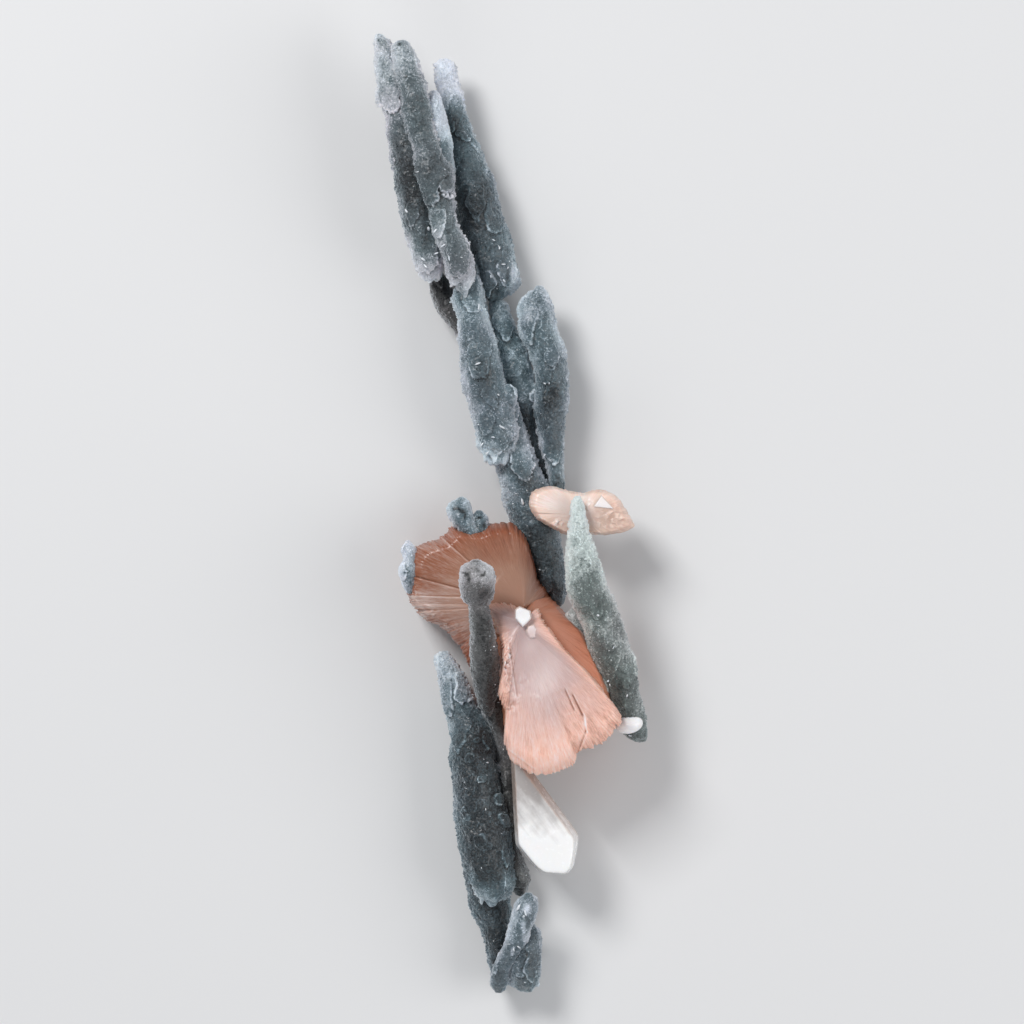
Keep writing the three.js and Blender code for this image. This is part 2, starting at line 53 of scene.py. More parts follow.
# The left top stalactites: two fingers of chalcedony grown side by side, with a short third tip in the
# gap to their neighbour. Silica left one drape over another as it dripped, each with a thin pale lip,
# and a skin of fine quartz crystals covers them all. Lengths here are millimetres.
MM = 0.001
BOX_LOW, BOX_HIGH = np.array(cad_box) / MM
SKIN_STEP = 0.17
TIP_ROUND = 0.4
TIP_CAP = 0.9
LUMP_HEIGHT = 0.05
RESTING_LEVEL = 0.02
QUARTZ_SIZES = ((0.78, 0.15), (0.40, 0.11))
LACE_SIZES = (1.1, 0.42)
BEND_SIZE, BEND_REACH = 2.6, (1.8, 2.6, 1.8)
LUMP_SIZE, LUMP_PUSH, LACE_PUSH = 3.2, 0.26, 0.34
EDGE_WIDTH = 0.26
SHEET_PITCH, SHEET_PUSH = 7.5, 0.36
TATTER_SIZE, TATTER_LENGTH = 1.0, 3.0
PATCH_SIZE, PATCH_TONE = 4.5, 0.32
MOTTLE_SIZE, MOTTLE_TONE = 1.8, 0.22
# The side and hollow weights paint light and shade: painted rim light on a finger's thin sides, painted
# shade in the hollows under its lips.
LIP_TONE, PAINTED_RIM_LIGHT, PAINTED_HOLLOW_SHADE = 0.58, 0.40, 0.24
LEFT_TOP_BACK = [
    [95.5, -27.0, -25.2, 15.4, 0.9], [94.4, -27.4, -23.9, 15.6, 1.8], [90.9, -27.2, -22.3, 15.8, 2.3],
    [86.9, -26.6, -20.9, 15.6, 2.8], [83.3, -26.7, -19.9, 15.4, 3.4], [79.7, -25.1, -18.9, 15.2, 3.6],
    [72.9, -24.1, -17.3, 14.8, 4.2], [64.9, -22.9, -15.5, 14.2, 4.6], [58.9, -21.7, -14.5, 13.4, 4.8],
    [52.9, -19.9, -13.5, 12.6, 4.6], [49.3, -18.7, -13.3, 12.4, 3.6], [47.5, -17.1, -14.5, 12.4, 1.6],
]
LEFT_TOP_FRONT = [
    [94.1, -22.9, -20.3, 17, 1.1], [93.1, -23.8, -19.6, 17, 1.8], [89.9, -23.7, -18.3, 17.2, 2.4],
    [84.9, -22.9, -16.7, 17.6, 3], [78.9, -21.7, -15.3, 17.6, 3.4], [72.9, -20.1, -13.9, 17.4, 3.6],
    [68.5, -19.1, -11.5, 17.2, 4.2], [61.9, -17.1, -11.1, 16.8, 4.2], [56.9, -15.7, -10.1, 16.4, 4.4],
    [51.3, -13.7, -7.5, 15.6, 4.6], [47.7, -12.7, -7.1, 15, 3.8], [45.1, -10.7, -8.5, 14.6, 1.6],
]
MIDDLE_TIP = [
    [84.3, -16.1, -14.5, 14.2, 1.0], [83.3, -16.9, -13.9, 14.4, 2.2], [78.9, -17.5, -12.7, 15.0, 3.2],
    [73.9, -16.9, -11.7, 15.0, 3.6], [68.9, -15.1, -11.1, 14.4, 3.4], [65.9, -13.9, -11.7, 13.6, 1.8],
]


def rows_at(rows, y):
    """Row values at the levels y: a cubic through the rows above and below each level, whose slope at
    a row is that of the line between the row's two neighbours."""
    rows = np.asarray(rows, float)[::-1]
    k = np.clip(np.searchsorted(rows[:, 0], y) - 1, 0, len(rows) - 2)
    before, low, high = rows[np.maximum(k - 1, 0)], rows[k], rows[k + 1]
    after = rows[np.minimum(k + 2, len(rows) - 1)]
    span = high[:, :1] - low[:, :1]
    t = (y[:, None] - low[:, :1]) / span
    leave = span * (high - before) / (high[:, :1] - before[:, :1])
    arrive = span * (after - low) / (after[:, :1] - low[:, :1])
    bend = 3 * (high - low) - 2 * leave - arrive
    twist = 2 * (low - high) + leave + arrive
    return low + t * (leave + t * (bend + t * twist))


def finger_rings(rows, step):
    """Oval rings down a finger: x is the middle plus the half width times cos u, z the middle plus the
    half depth times sin u. Two low waves that wind round it swell both, and each end closes as a
    quarter circle, with its rings spaced as a sphere's are."""
    rows = np.asarray(rows, float)
    top, bottom = rows[0, 0] + TIP_ROUND, rows[-1, 0] - TIP_ROUND
    cap = TIP_CAP * (1 - np.cos(np.linspace(0.12, np.pi / 2, 9)))
    middle = np.linspace(top - TIP_CAP, bottom + TIP_CAP, max(4, int((top - bottom) / step)))[1:-1]
    y = np.concatenate([top - cap, middle, (bottom + cap)[::-1]])
    inside = np.clip(y, rows[-1, 0], rows[0, 0])
    row = rows_at(rows, inside)
    closing = np.sqrt(np.clip(1 - ((y - inside) / TIP_ROUND) ** 2, 0.001, 1))
    half = ((row[:, 2] - row[:, 1]) / 2 * closing)[:, None]
    deep = (row[:, 4] * closing)[:, None]
    girth = 2 * np.pi * np.sqrt((half ** 2 + deep ** 2) / 2).max()
    u = np.linspace(0, 2 * np.pi, int(girth / step), endpoint=False)
    y = y[:, None]
    swell = 1 + LUMP_HEIGHT * (0.6 * np.sin(0.6 * y + 2 * u) + 0.4 * np.sin(1.1 * y - 3 * u + 2))
    x = (row[:, 1:2] + row[:, 2:3]) / 2 + half * swell * np.cos(u)
    z = row[:, 3:4] + deep * swell * np.sin(u)
    return np.stack([x, np.broadcast_to(y, x.shape), z], axis=-1)


def outward(rings):
    """Unit normals of a ring grid: the step round it crossed with the step along it."""
    along = np.gradient(rings, axis=0)
    across = np.roll(rings, -1, axis=1) - np.roll(rings, 1, axis=1)
    normal = np.cross(across, along)
    return normal / np.maximum(np.linalg.norm(normal, axis=-1, keepdims=True), 1e-9)


def lattice_noise(corner, seed):
    """Three even random numbers for each whole-numbered corner of space, by mixing its bits."""
    x, y, z = corner[..., 0], corner[..., 1], corner[..., 2]
    mixed = x * 73856093 ^ y * 19349663 ^ z * 83492791 ^ seed * 97531
    for _ in range(2):
        mixed = (mixed & 0xFFFFFFFF ^ (mixed & 0xFFFFFFFF) >> 16) * 0x45D9F3B
    mixed = (mixed & 0xFFFFFFFF) ^ (mixed & 0xFFFFFFFF) >> 16
    return np.stack([mixed & 1023, mixed >> 10 & 1023, mixed >> 20 & 1023], axis=-1) / 1023


def crystal_cells(points, size, seed):
    """Crystals packed side by side, each round a random seed point, one seed to a cube of the given
    size. A crystal's top is a plane: the way from its seed dotted with a random lean, plus a random
    height. Gives the top and the random numbers of the crystal at each point, and the groove, which
    is 0 where two crystals meet and 1 inside."""
    scaled = points / size
    home = np.floor(scaled).astype(np.int64)
    nearest = np.full(points.shape[:-1], 9.0)
    second = np.full(points.shape[:-1], 9.0)
    way = np.zeros(points.shape)
    random = np.zeros(points.shape)
    for shift in np.ndindex(3, 3, 3):
        corner = home + np.array(shift) - 1
        jitter = lattice_noise(corner, seed)
        toward = scaled - corner - 0.1 - 0.8 * jitter
        distance = np.sqrt((toward ** 2).sum(axis=-1))
        closer = distance < nearest
        second = np.where(closer, nearest, np.minimum(second, distance))
        nearest = np.where(closer, distance, nearest)
        way[closer] = toward[closer]
        random[closer] = lattice_noise(corner[closer], seed + 7)
    top = 1.6 * ((random - 0.5) * way).sum(axis=-1) + random[..., 0]
    return top, random, np.clip((second - nearest) / 0.25, 0, 1)


def eased(part):
    """A share from 0 to 1 made level at both ends: 3 times its square minus 2 times its cube."""
    return part * part * (3 - 2 * part)


def soft_noise(points, size, seed):
    """Smooth noise from 0 to 1: random numbers at the corners of cubes of the given size, blended."""
    scaled = points / size
    home = np.floor(scaled).astype(np.int64)
    part = eased(scaled - home)
    total = np.zeros(points.shape[:-1])
    for shift in np.ndindex(2, 2, 2):
        share = np.prod(np.where(np.array(shift) == 1, part, 1 - part), axis=-1)
        total += share * lattice_noise(home + np.array(shift), seed)[..., 0]
    return total


def bell(value, width, middle=0.0):
    """A bell curve: e to the power of minus ((value - middle) / width) squared."""
    return np.exp(-((value - middle) / width) ** 2)


def drapes(points, lobes, lace):
    """Height, lip and shade of overlapping tongues. A tongue stands where (across / half width) squared
    plus (down / half length) squared is under 1, its edge made ragged by the lace noise: full height
    close inside the edge, with a narrow crest along it, fainter on a low tongue. A hanging tongue
    fades to nothing at its upper end. The highest tongue shows; its lip is the crest, and its shade
    is the strip just outside, where the finger's tone gets painted shade."""
    height = np.zeros(points.shape[:-1])
    lip = np.zeros(points.shape[:-1])
    shade = np.zeros(points.shape[:-1])
    for x, y, z, half_width, half_length, tall, hang in lobes:
        rows = np.nonzero(np.abs(points[:, 0, 1] - y) < half_length + 2.6)[0]
        if not len(rows):
            continue
        part = slice(rows[0], rows[-1] + 1)
        side = points[part] - np.array([x, y, z])
        down = side[..., 1] / half_length
        across = np.sqrt(side[..., 0] ** 2 + side[..., 2] ** 2) / half_width
        inward = (1 - np.sqrt(across ** 2 + down ** 2)) * half_width + 0.8 * (lace[part] - 0.5)
        edge = eased(np.clip(inward / EDGE_WIDTH, 0, 1))
        fade = 1 - hang + hang * np.clip((1 - down) / 1.1, 0, 1)
        band = bell(inward, 0.15, 0.16) * (inward > 0) * fade * min(1, tall / 0.5)
        rise = tall * edge * fade + 0.10 * band
        on_top = rise > height[part] - 0.03
        inside = inward > 0
        lip[part] = np.where(inside, np.where(on_top, band, 0.6 * lip[part]), lip[part])
        under = bell(inward, 0.35) * fade * ~inside
        shade[part] = np.where(inside, 0.3 * shade[part], np.maximum(shade[part], under))
        height[part] = np.maximum(height[part], rise)
    return height, lip, shade


def shingles(points, pitch, seed):
    """Height, lip and shade of sheets that overlap like shingles. The stack is the level over the
    pitch plus twice a soft noise of two sizes, the larger stretched down the finger; each whole number
    of it is the lower edge of a sheet. A sheet is thickest at that edge and thins upward; lip and
    shade are bands measured in millimetres from the edge, by dividing through the stack's slope, and
    the shade band below the edge is where the finger's tone gets painted shade."""
    field = soft_noise(points * np.array([1, 0.45, 1]), 2.8, seed)
    field = field + 0.3 * soft_noise(points, 0.9, seed + 1)
    stack = points[..., 1] / pitch + 2.0 * field
    along = np.linalg.norm(np.gradient(points, axis=0), axis=-1)
    across = np.linalg.norm(np.roll(points, -1, axis=1) - points, axis=-1)
    turn = (np.roll(stack, -1, axis=1) - np.roll(stack, 1, axis=1)) / 2
    rise = np.gradient(stack, axis=0)
    slope = np.hypot(rise / np.maximum(along, 0.02), turn / np.maximum(across, 0.02))
    sheet = np.floor(stack)
    part = stack - sheet
    above, below = part / np.maximum(slope, 0.08), (1 - part) / np.maximum(slope, 0.08)
    lip = bell(above, 0.16, 0.2)
    height = eased(np.clip(above / EDGE_WIDTH, 0, 1)) * (1 - part) + 0.25 * lip
    return height, lip, bell(below, 0.32)


def scattered_lobes(rings, count, random):
    """Tongues at random places of a finger's surface, longer down the finger than across it."""
    ring = random.integers(6, rings.shape[0] - 6, count)
    column = random.integers(0, rings.shape[1], count)
    half_width = random.uniform(0.6, 1.9, count)
    half_length = half_width * random.uniform(1.0, 2.6, count)
    tall = random.uniform(0.12, 0.42, count)
    return np.column_stack([rings[ring, column], half_width, half_length, tall, np.ones(count)])


def add_object(name, data):
    """An object with the given data, put in the scene."""
    made = bpy.data.objects.new(name, data)
    bpy.context.scene.collection.objects.link(made)
    return made


def new_piece(name, points, corners, starts):
    """A mesh object from its points in millimetres, the corners of all its faces in one row, and the
    place in that row where each face starts."""
    mesh = bpy.data.meshes.new(name)
    mesh.vertices.add(len(points))
    mesh.vertices.foreach_set("co", (points * MM).ravel().astype(np.float32))
    mesh.loops.add(len(corners))
    mesh.loops.foreach_set("vertex_index", corners.astype(np.int32))
    mesh.polygons.add(len(starts))
    mesh.polygons.foreach_set("loop_start", starts.astype(np.int32))
    mesh.update(calc_edges=True)
    return add_object(name, mesh)


def closed_mesh(name, rings, layers):
    """A ring grid made a closed mesh: four-sided faces between the rings, and a pole at each end. The
    layers are values kept at its points."""
    count, columns = rings.shape[:2]
    flat = np.concatenate([rings.reshape(-1, 3), rings[:1].mean(axis=1), rings[-1:].mean(axis=1)])
    index = np.arange(count * columns).reshape(count, columns)
    right = np.roll(index, -1, axis=1)
    quads = np.stack([index[:-1], right[:-1], right[1:], index[1:]], axis=-1).reshape(-1, 4)
    first = np.stack([np.full(columns, count * columns), right[0], index[0]], axis=-1)
    last = np.stack([np.full(columns, count * columns + 1), index[-1], right[-1]], axis=-1)
    corners = np.concatenate([quads.ravel(), first.ravel(), last.ravel()])
    starts = np.concatenate([np.arange(len(quads)) * 4, quads.size + np.arange(2 * columns) * 3])
    piece = new_piece(name, flat, corners, starts)
    piece.data.polygons.foreach_set("use_smooth", np.ones(len(starts), dtype=bool))
    for layer, values in layers.items():
        full = np.concatenate([values.ravel(), values[:1].mean(axis=1), values[-1:].mean(axis=1)])
        kept = piece.data.attributes.new(layer, "FLOAT", "POINT").data
        kept.foreach_set("value", full.astype(np.float32))
    piece.data.validate()
    return piece


def add_node(tree, kind, inputs=None, **settings):
    """One shader node with its settings. An input is given as a plain value or as a socket to link."""
    made = tree.nodes.new(kind)
    for key, value in settings.items():
        setattr(made, key, value)
    for key, value in (inputs or {}).items():
        if isinstance(value, bpy.types.NodeSocket):
            tree.links.new(value, made.inputs[key])
        else:
            made.inputs[key].default_value = value
    return made


def calculate(tree, operation, *values):
    """A sum, product or other reckoning of plain values or sockets."""
    return add_node(tree, "ShaderNodeMath", dict(enumerate(values)), operation=operation).outputs[0]


def rescale(tree, value, low, high, to_low=0.0, to_high=1.0):
    """A value moved evenly from the range low to high to its new range, and kept inside it."""
    ends = {0: value, 1: low, 2: high, 3: to_low, 4: to_high}
    return add_node(tree, "ShaderNodeMapRange", ends).outputs[0]


def mix_colours(tree, share, first, second, **settings):
    """Two colours mixed, by the share of the second."""
    colours = {0: share, 6: first, 7: second}
    return add_node(tree, "ShaderNodeMix", colours, data_type="RGBA", **settings).outputs[2]


def cloudy(tree, place, scale, detail=2.0, roughness=0.5):
    """Cloudy noise round about a half."""
    noise = {"Vector": place, "Scale": scale, "Detail": detail, "Roughness": roughness}
    return add_node(tree, "ShaderNodeTexNoise", noise).outputs["Fac"]


def point_value(tree, layer):
    """A value that the mesh keeps at its points."""
    return add_node(tree, "ShaderNodeAttribute", attribute_name=layer).outputs["Fac"]


def open_group(name, colours, numbers=()):
    """A node group with its inputs, and with a colour, a roughness and a height as outputs. Gives the
    group, its inputs and the place on the piece."""
    tree = bpy.data.node_groups.new(name, "ShaderNodeTree")
    sockets = [(colour, "INPUT", "Color") for colour in colours]
    sockets += [(number, "INPUT", "Float") for number in numbers]
    sockets += [("Color", "OUTPUT", "Color")]
    sockets += [("Roughness", "OUTPUT", "Float"), ("Height", "OUTPUT", "Float")]
    for socket, side, kind in sockets:
        tree.interface.new_socket(socket, in_out=side, socket_type="NodeSocket" + kind)
    given = add_node(tree, "NodeGroupInput").outputs
    return tree, given, add_node(tree, "ShaderNodeTexCoord").outputs["Object"]


def close_group(tree, colour, roughness, height):
    """Links the results to the group's outputs."""
    add_node(tree, "NodeGroupOutput", {"Color": colour, "Roughness": roughness, "Height": height})
    return tree


def crystal_facets(tree, place, scale):
    """Small flat facets: inside each cell of the given scale the height is the way from the cell's seed
    dotted with a random lean. Gives the height in metres and the cell's random number."""
    cells = add_node(tree, "ShaderNodeTexVoronoi", {"Vector": place, "Scale": scale})
    colour = cells.outputs["Color"]
    way = add_node(tree, "ShaderNodeVectorMath", {0: place, 1: cells.outputs["Position"]},
                   operation="SUBTRACT")
    lean = add_node(tree, "ShaderNodeVectorMath", {0: colour, 1: (0.5, 0.5, 0.5)}, operation="SUBTRACT")
    height = add_node(tree, "ShaderNodeVectorMath", {0: way.outputs[0], 1: lean.outputs[0]},
                      operation="DOT_PRODUCT")
    own = add_node(tree, "ShaderNodeSeparateColor", {"Color": colour})
    return height.outputs["Value"], own.outputs["Red"]


FACETS_PER_METRE, MOTTLES_PER_METRE, TINTS_PER_METRE = 4400.0, 900.0, 75.0


def drusy_skin_group():
    """Node group of the quartz skin: a tone from the mesh, mottled by soft noise, speckled crystal by
    crystal and brightened by painted glints on its few highest-numbered crystals, gives the colour;
    the speckle gives the roughness and the facets the height."""
    tree, given, place = open_group("Drusy skin", ("Dark", "Body", "Pale"))
    height, spark = crystal_facets(tree, place, FACETS_PER_METRE)
    cloud = cloudy(tree, place, MOTTLES_PER_METRE, 5.0, 0.7)
    mottle = calculate(tree, "MULTIPLY_ADD", cloud, 0.36, -0.18)
    speckle = calculate(tree, "MULTIPLY_ADD", spark, 0.16, -0.08)
    # Painted glints: the crystals whose random number is highest are drawn lighter.
    painted_glint = rescale(tree, spark, 0.88, 1.0, 0.0, 0.19)
    mottle_speckle_and_glint = calculate(tree, "ADD", calculate(tree, "ADD", mottle, speckle), painted_glint)
    tone = calculate(tree, "ADD", point_value(tree, "tone"), mottle_speckle_and_glint)
    lower = mix_colours(tree, rescale(tree, tone, 0.0, 0.45), given["Dark"], given["Body"])
    upper = mix_colours(tree, rescale(tree, tone, 0.45, 1.0), lower, given["Pale"])
    turned = rescale(tree, cloudy(tree, place, TINTS_PER_METRE), 0.38, 0.62)
    tint = mix_colours(tree, turned, (0.94, 1.0, 1.0, 1), (1.04, 0.99, 1.01, 1))
    tinted = mix_colours(tree, 1.0, upper, tint, blend_type="MULTIPLY")
    return close_group(tree, tinted, rescale(tree, spark, 0.0, 1.0, 0.25, 0.6), height)


DRUSY_SKIN = drusy_skin_group()


def new_material(name):
    """A material, its node tree and its shader."""
    material = bpy.data.materials.new(name)
    material.use_nodes = True
    return material, material.node_tree, material.node_tree.nodes["Principled BSDF"]


def patterned_material(name, group, inputs, bump_strength, bump_distance, finish):
    """A material whose colour, roughness and height come from a node group. The finish holds the
    constants that stand on the shader's own sockets."""
    material, tree, shader = new_material(name)
    pattern = add_node(tree, "ShaderNodeGroup", inputs, node_tree=group).outputs
    bump = add_node(tree, "ShaderNodeBump", {"Height": pattern["Height"], "Strength": bump_strength,
                                             "Distance": bump_distance})
    tree.links.new(pattern["Color"], shader.inputs["Base Color"])
    tree.links.new(pattern["Roughness"], shader.inputs["Roughness"])
    tree.links.new(bump.outputs["Normal"], shader.inputs["Normal"])
    for socket, value in finish.items():
        shader.inputs[socket].default_value = value
    return material


def chalcedony(name, dark, body, pale):
    """Chalcedony under its quartz skin: the skin's colours over light that wanders inside the stone."""
    colours = {"Dark": (*dark, 1), "Body": (*body, 1), "Pale": (*pale, 1)}
    return patterned_material(name, DRUSY_SKIN, colours, 0.45, 1.0, {
        "Subsurface Weight": 0.6, "Subsurface Radius": (1.0, 1.1, 1.2), "Subsurface Scale": 0.0016,
        "Sheen Weight": 0.7, "Sheen Roughness": 0.4, "Sheen Tint": (0.86, 0.94, 1.0, 1),
        "Coat Weight": 0.12, "Coat Roughness": 0.2, "IOR": 1.54,
    })


GREY_CHALCEDONY = chalcedony(
    "Grey chalcedony", (0.005, 0.010, 0.013), (0.100, 0.146, 0.168), (0.72, 0.79, 0.86))
NEUTRAL_CHALCEDONY = chalcedony(
    "Neutral chalcedony", (0.007, 0.010, 0.012), (0.110, 0.143, 0.156), (0.77, 0.78, 0.83))
quartz_seats = []


def soft_spot(x, y, spot):
    """A soft-edged spot (x, y, half width, half length, height): the height times one bell curve
    across and one along."""
    spot_x, spot_y, half_width, half_length, height = spot
    return height * bell(x, half_width, spot_x) * bell(y, half_length, spot_y)


def stalactite(name, node, rows, seed, tones, material=GREY_CHALCEDONY, lobes=(),
               lobe_count=1, clouds=(), draped=0.3, tatters=1.0, coarse=1.0, step=SKIN_STEP):
    """One finger: its rings pushed out by tongues, by sheets that overlap like shingles, by soft lumps
    and by two sizes of quartz crystals, each crystal's top a plane that leans its own way. The tone
    follows the (level, tone) pairs of tones down the finger and is high on the lips; painted light
    raises it on the two thin sides, for the light they let through, and painted shade lowers it in the
    hollows under the lips and in the grooves between crystals. Each cloud adds a soft spot. The sides
    are the most ragged, and the lower end hangs in tatters: its points are moved up or down by a noise
    that fades upward. No point leaves the specimen's box."""
    random = np.random.default_rng(seed)
    rings = finger_rings(rows, step)
    normals = outward(rings)
    flat = rings.reshape(-1, 3)
    placed = []
    for x, y, half_width, half_length, tall, hang in lobes:
        near = np.argmin((flat[:, 0] - x) ** 2 + (flat[:, 1] - y) ** 2 - 0.2 * flat[:, 2])
        placed.append((x, y, flat[near, 2], half_width, half_length, tall, hang))
    lace = 0.5 * soft_noise(rings, LACE_SIZES[0], seed + 1)
    lace = lace + 0.5 * soft_noise(rings, LACE_SIZES[1], seed + 2)
    bent = np.stack([soft_noise(rings, BEND_SIZE, seed + 4 + k) - 0.5 for k in range(3)], axis=-1)
    bent = rings + bent * np.array(BEND_REACH)
    drape, lip, under = drapes(bent, list(scattered_lobes(rings, lobe_count, random)) + placed, lace)
    sheets, sheet_lip, sheet_painted_shade = shingles(bent, SHEET_PITCH, seed + 8)
    open_air = (drape < 0.05) * draped
    lip = np.maximum(lip, open_air * sheet_lip)
    under = np.maximum(under, open_air * sheet_painted_shade)
    sides = np.abs(np.cos(np.linspace(0, 2 * np.pi, rings.shape[1], endpoint=False))) ** 3
    below_tip, above_end = rings[0, 0, 1] - rings[..., 1], rings[..., 1] - rings[-1, 0, 1]
    fringe = 1 + 1.5 * bell(above_end, 3.0) + 0.9 * sides
    lumps = soft_noise(rings, LUMP_SIZE, seed) - 0.5
    table = np.asarray(rows)
    calm = np.clip(min((table[:, 2] - table[:, 1]).mean() / 2, table[:, 4].mean()) / 3.0, 0.4, 1)
    steady = np.clip(np.minimum(below_tip, above_end), 0.4, 1) * calm
    rugged = steady * coarse
    push = (drape + draped * (SHEET_PUSH * sheets - 0.15) + 0.02) * steady
    push = push + (LUMP_PUSH * lumps + LACE_PUSH * (lace - 0.5)) * fringe * rugged
    # shade adds each crystal's own random tone and painted shade along the grooves where crystals meet.
    shade = 0
    for size, tall in QUARTZ_SIZES:
        top, own, groove = crystal_cells(rings + normals * push[..., None], size, seed)
        push = push + tall * (top + 0.5 * groove - 0.9) * (0.5 + 1.5 * sides) * rugged
        shade = shade + tall * (own[..., 1] - 0.5) + 0.5 * tall * (groove - 0.7)
    points = rings + normals * push[..., None]
    hanging = soft_noise(rings, TATTER_SIZE, seed + 15) - 0.45
    points[..., 1] -= TATTER_LENGTH * hanging * bell(above_end, 1.6) * calm * tatters
    points = np.clip(points, BOX_LOW + RESTING_LEVEL, BOX_HIGH)
    patches = soft_noise(rings, PATCH_SIZE, seed + 3) - 0.5
    levels, values = np.array(sorted(tones)).T
    mottles = soft_noise(rings, MOTTLE_SIZE, seed + 14) - 0.5
    tone = np.interp(rings[..., 1], levels, values) + PATCH_TONE * patches + MOTTLE_TONE * mottles
    # Painted light and shade: the crystal grooves and the strips under the lips are drawn darker, the
    # thin sides lighter for the light they let through.
    tone = tone + 0.5 * shade - PAINTED_HOLLOW_SHADE * under + PAINTED_RIM_LIGHT * (sides - 0.25)
    tone = tone + LIP_TONE * lip * np.clip(2.8 * lace - 0.6, 0.1, 1)
    for cloud in clouds:
        tone = tone + soft_spot(rings[..., 0], rings[..., 1], cloud)
    piece = closed_mesh(name, points, {"tone": np.clip(tone, 0, 1.2)})
    piece.data.materials.append(material)
    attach(piece, "root")
    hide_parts(node)
    quartz_seats.append((points, normals, lip))


stalactite(
    "left_top_back", "left_top_stalactites", LEFT_TOP_BACK, 11, material=NEUTRAL_CHALCEDONY, tatters=1.5,
    tones=((96, 0.72), (90, 0.70), (84, 0.64), (76, 0.46), (66, 0.22), (57, 0.36), (52, 0.60),
        (47, 0.76)),
    lobe_count=5,
    lobes=((-23.6, 85.0, 2.8, 5.4, 0.7, 1), (-26.3, 83.0, 1.2, 2.6, 0.6, 1),
        (-17.2, 51.5, 3.0, 4.0, 0.6, 1), (-19.4, 60.0, 1.6, 3.4, 0.4, 1)),
    # The dark spot at (-20.2, 67.0) is painted shadow that the front finger casts along this one.
    clouds=((-16.8, 58.0, 1.0, 5.0, -0.24), (-17.2, 49.0, 3.2, 2.2, 0.26),
        (-26.3, 94.5, 0.24, 0.24, -0.5), (-20.2, 67.0, 1.8, 6.5, -0.26), (-22.4, 60.0, 2.0, 3.0, 0.06)))
stalactite(
    "left_top_front", "left_top_stalactites", LEFT_TOP_FRONT, 15, material=NEUTRAL_CHALCEDONY,
    tatters=1.5,
    tones=((94, 0.78), (88, 0.61), (80, 0.42), (70, 0.36), (60, 0.35), (54, 0.51), (46, 0.57)),
    lobe_count=4,
    lobes=((-16.4, 68.5, 3.2, 7.5, 0.8, 1), (-12.7, 65.5, 1.6, 2.1, 0.7, 0),
        (-11.1, 59.3, 1.0, 1.3, 0.4, 0), (-10.5, 50.0, 2.9, 5.2, 0.6, 1),
        (-14.8, 57.5, 1.7, 4.2, 0.5, 1)),
    clouds=((-18.2, 65.0, 0.7, 4.0, -0.30), (-17.4, 58.5, 0.6, 4.0, -0.26), (-9.6, 62.0, 0.6, 3.0, -0.2),
        (-12.6, 66.6, 0.9, 0.9, -0.12), (-15.2, 62.5, 1.2, 3.0, 0.10), (-10.2, 46.4, 2.6, 1.6, 0.24),
        (-22.1, 93.5, 0.28, 0.24, -0.6), (-20.7, 86.9, 0.22, 0.22, -0.6), (-16.6, 78.0, 1.2, 4.0, -0.06),
        (-13.4, 55.5, 1.1, 3.4, 0.30), (-11.2, 52.5, 1.6, 3.0, -0.06)))
stalactite(
    "middle_tip", "left_top_stalactites", MIDDLE_TIP, 13, tatters=0.2,
    tones=((84, 0.88), (76, 0.74), (68, 0.42)))

# The right top stalactite: one long finger behind the other two, very pale at its tip and worn flat
# along its back where the specimen rests.
RIGHT_TOP = [
    [91.1, -14.5, -11.9, 8, 1.0], [90.2, -15.3, -11.0, 8, 1.9], [86.9, -15.0, -10.6, 7.8, 2.2],
    [83.9, -14.7, -9.5, 7.4, 2.8], [76.9, -14.1, -7.7, 6.6, 4], [72.9, -13.9, -6.1, 6, 5],
    [66.9, -13.1, -3.3, 5.8, 6], [62.9, -12.5, -2.3, 5.8, 6.4], [57.3, -11.1, -0.7, 5.8, 6.6],
    [52.9, -9.9, 0.5, 5.8, 6.6], [48.5, -7.9, 1.7, 5.6, 6.2], [46.1, -6.9, 1.3, 5.6, 5],
    [43.9, -5.1, -1.3, 5.6, 2.4],
]
stalactite(
    "right_top_finger", "right_top_stalactite", RIGHT_TOP, 21,
    tones=((91, 1.06), (86, 0.99), (80, 0.46), (70, 0.29), (60, 0.27), (52, 0.30), (44, 0.38)),
    lobe_count=9, step=0.18,
    lobes=((-12.4, 77.5, 1.5, 2.2, 0.5, 1), (-10.1, 75.5, 1.3, 1.4, 0.5, 1),
        (-0.5, 48.5, 2.6, 3.6, 0.6, 1), (-3.0, 60.0, 2.2, 4.0, 0.4, 1), (-5.6, 46.6, 2.2, 3.0, 0.5, 1)),
    clouds=((-0.6, 46.8, 2.6, 2.0, 0.24), (-11.5, 79.0, 1.3, 5.0, -0.12), (-8.9, 70.0, 1.5, 6.0, -0.06),
        (-6.5, 60.0, 2.0, 6.0, -0.12), (-4.8, 67.0, 1.4, 5.0, -0.14), (-0.8, 47.9, 0.4, 1.5, -0.5),
        (0.4, 48.8, 1.2, 2.4, 0.2)))

# The back stub: a short dark finger that hangs behind the top group.
DARK_CHALCEDONY = chalcedony(
    "Dark chalcedony", (0.010, 0.010, 0.010), (0.125, 0.125, 0.122), (0.66, 0.65, 0.67))
BACK_STUB = [
    [48.3, -16.5, -13.3, 6, 2], [43.9, -15.9, -11.1, 5.4, 3], [40.9, -14.7, -10.1, 5, 3.2],
    [38.5, -12.9, -9.3, 5, 2.8], [36.9, -11.1, -9.3, 5, 1.2],
]
stalactite(
    "back_stub_finger", "back_stub", BACK_STUB, 25, material=DARK_CHALCEDONY,
    tones=((48, 0.22), (36, 0.34)),
    lobe_count=4)

